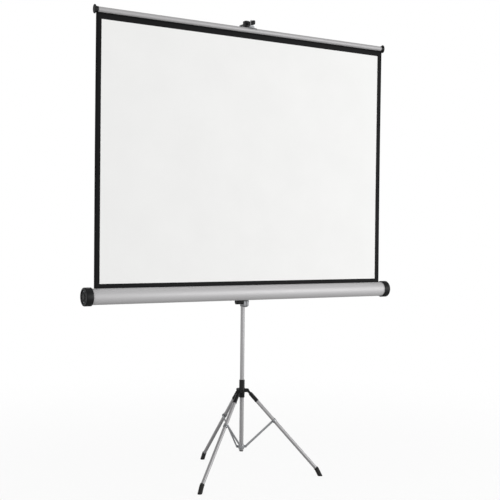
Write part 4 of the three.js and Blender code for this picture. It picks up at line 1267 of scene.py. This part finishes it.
def make_rod():
    tube = pipe(ROD_RADIUS, ROD_RADIUS - ROD_WALL, ROD_LOW.z, ROD_HIGH.z)
    dress("extension_rod", moved(tube, ON_COLUMN), "rod", TUBE_SILVER_PAINTED_SHADE)
    low, high = corners_of("rod_glide")
    radius = (high.x - low.x) / 2
    inner = ROD_RADIUS - ROD_WALL - SEAT_GAP
    seat = ROD_LOW.z - SEAT_GAP
    glide = turned([
        (0, low.z),
        (radius, low.z),
        (radius, seat),
        (inner, seat),
        (inner, high.z),
        (0, high.z),
    ])
    dress("rod_glide", moved(softened(glide, MOULD_EDGE), ON_COLUMN), "rod", BLACK)


def make_head():
    low, high = corners_of("rod_head")
    head = block((low.x, low.y - COLUMN_BACK, low.z), (high.x, high.y - COLUMN_BACK, high.z))
    softened(head, HEAD_CORNER, along(head, 2), CORNER_STEPS)
    softened(head, SOFT_EDGE)
    rod_room = room_for(ROD_RADIUS, low.z - OVERRUN, ROD_HIGH.z + SEAT_GAP, steps=TUBE_STEPS)
    arm_room = ARM_HALF + SEAT_GAP
    bar_room = ARM_HALF_BAR + SEAT_GAP
    window = block(
        (-arm_room, -ARM_NOSE_END, ARM_HEIGHT - bar_room),
        (arm_room, ARM_TAIL, ARM_HEIGHT + bar_room),
    )
    dress("rod_head", moved(cut(head, rod_room, window), ON_COLUMN), "rod", BLACK)


def make_hook():
    bar_front = ARM_NOSE_START + OVERRUN
    bar = block(
        (-ARM_HALF, -bar_front, ARM_HEIGHT - ARM_HALF_BAR),
        (ARM_HALF, ARM_TAIL, ARM_HEIGHT + ARM_HALF_BAR),
    )
    softened(bar, MOULD_EDGE)
    nose = block((-ARM_HALF, -ARM_NOSE_END, NOSE_LOW), (ARM_HALF, -ARM_NOSE_START, NOSE_HIGH))
    front = [edge for edge in along(nose, 0) if edge.verts[0].co.y < -bar_front]
    softened(nose, ARM_NOSE_CORNER, front, CORNER_STEPS)
    softened(nose, MOULD_EDGE)
    notches = []
    for step in range(ARM_NOTCHES):
        forward = CASE_FORWARD + HANGER_DEPTH / 2 + ARM_NOTCH_PITCH * (step + 1 / 2)
        notch = drum(ARM_NOTCH, -2 * ARM_HALF, 2 * ARM_HALF)
        notches.append(moved(notch, at(0, -forward, NOSE_HIGH) @ TO_X))
    dress("hook_arm", moved(cut(joined(bar, nose), *notches), ON_COLUMN), "hook", BLACK)


def make_hanger():
    """The plate that hangs on the arm and widens to its foot on the rail's clip."""
    low, high = corners_of("rail_hanger")
    foot_half = (high.x - low.x) / 2
    room = ARM_HALF + SEAT_GAP
    upright = room + HANGER_WALL
    yoke = pushed([
        (-foot_half, low.z),
        (foot_half, low.z),
        (upright, NOSE_LOW),
        (upright, high.z),
        (-upright, high.z),
        (-upright, NOSE_LOW),
    ], HANGER_DEPTH)
    moved(yoke, at(0, -CASE_FORWARD + HANGER_DEPTH / 2, 0) @ LIE_BACK)
    softened(yoke, MOULD_EDGE)
    gate = block((-room, -2 * CASE_FORWARD, NOSE_LOW - SEAT_GAP), (room, 0, NOSE_HIGH + SEAT_GAP))
    dress("rail_hanger", moved(cut(yoke, gate), ON_COLUMN), "hook", ZINC)


# Cloth: its cut from the roller to the bead in the rail, and the printed border that is seen.
# The threads lie about 0.5 mm apart on the real cloth, and are drawn 1.5 mm apart.
# The bands of a wave texture lie one wave period apart at a scale of 1
CLOTH_LOW, CLOTH_HIGH = corners_of("screen_cloth")
CLOTH_WIDTH = CLOTH_HIGH.x - CLOTH_LOW.x
CLOTH_LENGTH = CLOTH_HIGH.z - CLOTH_LOW.z
CLOTH_THICKNESS = 0.5 * MM
CLOTH_BACK = (CLOTH_LOW.y + CLOTH_HIGH.y) / 2
SIDE_BORDER = 25 * MM
TOP_BORDER_SEEN = 26.8 * MM
BOTTOM_BORDER_SEEN = 18 * MM
THREAD_DRAWN = 1.5 * MM
THREAD_RELIEF = 0.05 * MM
WAVE_PERIOD = TAU / 20
CLOTH_CLOUD = (180 * MM, 3, 0.5)
CLOTH_ACROSS = 60
CLOTH_UP = 48
CLOTH_WAVE = 1.6 * MM
CLOTH_WAVES = 3
EDGE_CURL = 2.2 * MM
CURL_WIDTH = 60 * MM
BEAD_RADIUS = 2.5 * MM
IMAGE_FINISH = 0
BORDER_FINISH = 1
BACK_FINISHES = 2


def cloth_finish(name, tones, sheen, weave_strength):
    """PVC film on woven glass fibre, calendered: the weave shows through the coat as a fine even grid."""
    plain = {"Roughness": sheen, "IOR": 1.45, "Specular IOR Level": 0.15}
    material, tree, shader, flat = new_finish(name, plain, "UV")
    laid = add_node(tree, "ShaderNodeMapping", {"Vector": flat, "Scale": (CLOTH_WIDTH, CLOTH_LENGTH, 1)})
    place = laid.outputs["Vector"]
    cloud = add_node(tree, "ShaderNodeTexNoise", cloudy(place, *CLOTH_CLOUD)).outputs["Fac"]
    tone = between(cloud, paint(tones[0]), paint(tones[1]))
    mixed = add_node(tree, "ShaderNodeMix", tone, data_type="RGBA")
    tree.links.new(mixed.outputs[MIX_COLOUR], shader.inputs["Base Color"])
    bands = {"Vector": place, "Scale": per(THREAD_DRAWN) * WAVE_PERIOD}
    threads = [
        add_node(tree, "ShaderNodeTexWave", bands, wave_type="BANDS", bands_direction=way).outputs["Fac"]
        for way in ("X", "Y")
    ]
    crossed = {0: threads[0], 1: threads[1]}
    weave = add_node(tree, "ShaderNodeMath", crossed, operation="MULTIPLY").outputs["Value"]
    raised = {"Strength": weave_strength, "Distance": THREAD_RELIEF, "Height": weave}
    bump = add_node(tree, "ShaderNodeBump", raised)
    tree.links.new(bump.outputs["Normal"], shader.inputs["Normal"])
    return material


WHITE_CLOTH = cloth_finish("matt_white_pvc_calendered", ("#E9E9E8", "#EFEFEE"), 0.82, 0.12)
BORDER_CLOTH = cloth_finish("black_masking_screen_printed", ("#080809", "#0E0E10"), 0.62, 0.2)
BACKING_CLOTH = cloth_finish("black_pvc_backing_knife_coated", ("#111113", "#1C1C1F"), 0.6, 0.3)


def spaced(stops, count):
    """Places from the first stop to the last that include every stop, at most a share of the whole apart."""
    step = (stops[-1] - stops[0]) / count
    places = []
    for first, second in zip(stops, stops[1:]):
        parts = max(1, math.ceil((second - first) / step))
        places += [first + (second - first) * part / parts for part in range(parts)]
    return [*places, stops[-1]]


def cloth_form():
    """The sheet as it hangs, with the flat cloth as its UV, and one finish each for image area and border."""
    half = CLOTH_WIDTH / 2
    slot_top = CASE_HIGH.z
    rail_bottom = RAIL_LOW.z
    columns = spaced([-half, -half + SIDE_BORDER, half - SIDE_BORDER, half], CLOTH_ACROSS)
    white_low = slot_top + BOTTOM_BORDER_SEEN
    white_high = rail_bottom - TOP_BORDER_SEEN
    rows = spaced([CLOTH_LOW.z, white_low, white_high, CLOTH_HIGH.z], CLOTH_UP)
    sheet = bmesh.new()
    bmesh.ops.create_grid(sheet, x_segments=len(columns) - 1, y_segments=len(rows) - 1, size=1)
    layout = sheet.loops.layers.uv.new("flat_cloth")
    for vert in sheet.verts:
        column = round((vert.co.x + 1) / 2 * (len(columns) - 1))
        row = round((vert.co.y + 1) / 2 * (len(rows) - 1))
        across, up = columns[column], rows[row]
        share = min(1, max(0, (up - slot_top) / (rail_bottom - slot_top)))
        loose = math.sin(HALF_TURN * share)
        curl = EDGE_CURL * math.exp(-(half - abs(across)) / CURL_WIDTH)
        ripple = math.sin(TAU * across / CLOTH_WIDTH * CLOTH_WAVES) * math.sin(TAU * share)
        vert.co = Vector((across, CLOTH_BACK + loose * (curl + CLOTH_WAVE * ripple), up))
    for face in sheet.faces:
        for loop in face.loops:
            spot = loop.vert.co
            loop[layout].uv = ((spot.x + half) / CLOTH_WIDTH, (spot.z - CLOTH_LOW.z) / CLOTH_LENGTH)
        centre = face.calc_center_median()
        inside = abs(centre.x) < half - SIDE_BORDER and white_low < centre.z < white_high
        face.material_index = IMAGE_FINISH if inside else BORDER_FINISH
        face.smooth = True
    sheet.normal_update()
    if sheet.faces[:][0].normal.y > 0:
        bmesh.ops.reverse_faces(sheet, faces=sheet.faces[:])
    return sheet


def make_cloth():
    mesh = mesh_from(cloth_form(), "cloth_sheet")
    # The image area and the border have the same back
    for finish in (WHITE_CLOTH, BORDER_CLOTH, BACKING_CLOTH, BACKING_CLOTH):
        mesh.materials.append(finish)
    cloth = new_thing("cloth_sheet", mesh)
    wall = cloth.modifiers.new("cloth_thickness", "SOLIDIFY")
    wall.thickness = CLOTH_THICKNESS
    wall.offset = 0
    wall.material_offset = BACK_FINISHES
    wall.material_offset_rim = BORDER_FINISH
    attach(cloth, "case")
    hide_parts("screen_cloth")
    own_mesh(cloth)


def make_bead():
    """The welded rod in the cloth's top edge, which the rail holds."""
    bead = softened(drum(BEAD_RADIUS, CLOTH_LOW.x, CLOTH_HIGH.x), FINE_EDGE)
    place = at(0, CLOTH_BACK, CLOTH_HIGH.z - BEAD_RADIUS)
    add_piece("cloth_bead", moved(bead, place @ TO_X), "rail", BLACK)


# Studio. The room is brightest where a way points level, and darker where it points steeply up or down
FLOOR_REACH = 14
FLOOR_FADE_START = 0.6
FLOOR_FADE_END = 3.2
FLOOR_FADE_LEAST = 0.88
FLOOR_TOOTH = (3 * MM, 2, 0.5)
FLOOR_BOUNCE = "#8E8E8D"
ROOM_COLOUR = (1, 1, 1, 1)
ROOM_LEVEL_END = 0.2
ROOM_STEEP_START = 0.75
ROOM_LEVEL_LIGHT = 0.8
ROOM_STEEP_LIGHT = 0.32
SOFTBOXES = (
    # place, point that it faces, width, height, power
    ((3.2, -4.6, 1.5), (0, -0.1, 1.1), 3.6, 2.8, 150),
    ((-4.4, -2.6, 1.6), (0, -0.1, 1.2), 2.4, 2.4, 40),
    ((0.6, 3.6, 2.6), (0, -0.1, 1.2), 3.0, 1.4, 30),
    ((0, -0.3, 5.2), (0, -0.1, 0), 3.4, 3.4, 20),
)


def studio_paper():
    """Matt studio paper: near white, fading into the white background away from the object.

    It throws little light back, as a floor does that is flagged off, so that what faces down stays dark.
    """
    material, tree, shader, place = new_finish("studio_paper_matt", {"Roughness": 0.9})
    tooth = add_node(tree, "ShaderNodeTexNoise", cloudy(place, *FLOOR_TOOTH)).outputs["Fac"]
    tones = between(tooth, paint("#F9F9F8"), paint("#FDFDFC"))
    paper = add_node(tree, "ShaderNodeMix", tones, data_type="RGBA").outputs[MIX_COLOUR]
    seen = add_node(tree, "ShaderNodeLightPath").outputs["Is Camera Ray"]
    shown = between(seen, paint(FLOOR_BOUNCE), paper)
    tone = add_node(tree, "ShaderNodeMix", shown, data_type="RGBA").outputs[MIX_COLOUR]
    tree.links.new(tone, shader.inputs["Base Color"])
    reach = add_node(tree, "ShaderNodeVectorMath", {0: place}, operation="LENGTH").outputs["Value"]
    fading = {
        "Value": reach,
        "From Min": FLOOR_FADE_START,
        "From Max": FLOOR_FADE_END,
        "To Min": FLOOR_FADE_LEAST,
    }
    fade = add_node(tree, "ShaderNodeMapRange", fading, interpolation_type="SMOOTHSTEP").outputs["Result"]
    clear = add_node(tree, "ShaderNodeBsdfTransparent").outputs["BSDF"]
    mixed = add_node(tree, "ShaderNodeMixShader", {0: fade, 1: shader.outputs["BSDF"], 2: clear})
    tree.links.new(mixed.outputs["Shader"], tree.nodes["Material Output"].inputs["Surface"])
    return material


def make_floor():
    ground = bmesh.new()
    bmesh.ops.create_circle(ground, cap_ends=True, segments=CASE_STEPS, radius=FLOOR_REACH)
    mesh = mesh_from(ground, "studio_floor")
    mesh.materials.append(studio_paper())
    new_thing("studio_floor", mesh)


def aim(thing, place, target):
    way = Vector(target) - Vector(place)
    thing.location = place
    thing.rotation_mode = "QUATERNION"
    thing.rotation_quaternion = way.to_track_quat("-Z", "Y")


def make_lights():
    for number, (place, target, width, height, power) in enumerate(SOFTBOXES):
        lamp = bpy.data.lights.new(f"softbox_{number}", "AREA")
        lamp.shape = "RECTANGLE"
        lamp.size = width
        lamp.size_y = height
        lamp.energy = power
        box = new_thing(f"softbox_{number}", lamp)
        box.visible_camera = False
        aim(box, place, target)


def make_room():
    world = bpy.data.worlds.new("studio")
    world.use_nodes = True
    tree = world.node_tree
    tree.nodes.clear()
    way = add_node(tree, "ShaderNodeTexCoord").outputs["Object"]
    height = add_node(tree, "ShaderNodeSeparateXYZ", {0: way}).outputs["Z"]
    steep = add_node(tree, "ShaderNodeMath", {0: height}, operation="ABSOLUTE").outputs["Value"]
    fading = {
        "Value": steep,
        "From Min": ROOM_LEVEL_END,
        "From Max": ROOM_STEEP_START,
        "To Min": ROOM_LEVEL_LIGHT,
        "To Max": ROOM_STEEP_LIGHT,
    }
    strength = add_node(tree, "ShaderNodeMapRange", fading, interpolation_type="SMOOTHSTEP").outputs["Result"]
    lit = add_node(tree, "ShaderNodeBackground", {"Color": ROOM_COLOUR, "Strength": strength})
    seen = add_node(tree, "ShaderNodeBackground", {"Color": ROOM_COLOUR, "Strength": 1})
    ray = add_node(tree, "ShaderNodeLightPath").outputs["Is Camera Ray"]
    backgrounds = {0: ray, 1: lit.outputs["Background"], 2: seen.outputs["Background"]}
    mixed = add_node(tree, "ShaderNodeMixShader", backgrounds)
    add_node(tree, "ShaderNodeOutputWorld", {"Surface": mixed.outputs["Shader"]})
    bpy.context.scene.world = world
    bpy.context.scene.view_settings.view_transform = "Standard"


# Camera: a little higher than the case, in front of the cloth and to its left. Lens and sensor in millimetres
CAMERA_FROM_COLUMN = Vector((-2295.3, -3757.7, 1113.2)) * MM
CAMERA_YAW = math.radians(31.81)
CAMERA_PITCH = math.radians(-1.034)
CAMERA_ROLL = math.radians(0.63)
CAMERA_LENS = 69.5
CAMERA_SENSOR = 36


def make_camera():
    level = math.cos(CAMERA_PITCH)
    forward = Vector((math.sin(CAMERA_YAW) * level, math.cos(CAMERA_YAW) * level, math.sin(CAMERA_PITCH)))
    right = Vector((math.cos(CAMERA_YAW), -math.sin(CAMERA_YAW), 0))
    up = right.cross(forward)
    rolled_right = right * math.cos(CAMERA_ROLL) + up * math.sin(CAMERA_ROLL)
    rolled_up = up * math.cos(CAMERA_ROLL) - right * math.sin(CAMERA_ROLL)
    lens = bpy.data.cameras.new("camera")
    lens.lens = CAMERA_LENS
    lens.sensor_width = CAMERA_SENSOR
    camera = new_thing("camera", lens)
    axes = Matrix((rolled_right, rolled_up, -forward)).transposed().to_4x4()
    camera.matrix_world = ON_COLUMN @ Matrix.Translation(CAMERA_FROM_COLUMN) @ axes
    bpy.context.scene.camera = camera


make_camera()
make_column()
make_spider()
make_collar()
make_hub()
for leg_name in LEG_NAMES:
    make_leg_pin(leg_name)
for leg_name in LEG_NAMES:
    make_leg(leg_name)
    make_brace(leg_name)
make_bracket()
make_clamp()
make_cradle()
make_case_shell()
for cap_side in SIDES:
    make_end_cap(cap_side)
make_roller()
make_spring()
make_rail()
for cap_side in SIDES:
    make_rail_cap(cap_side)
make_rail_clip()
make_rod()
make_head()
make_hook()
make_hanger()
make_cloth()
make_bead()
make_floor()
make_lights()
make_room()
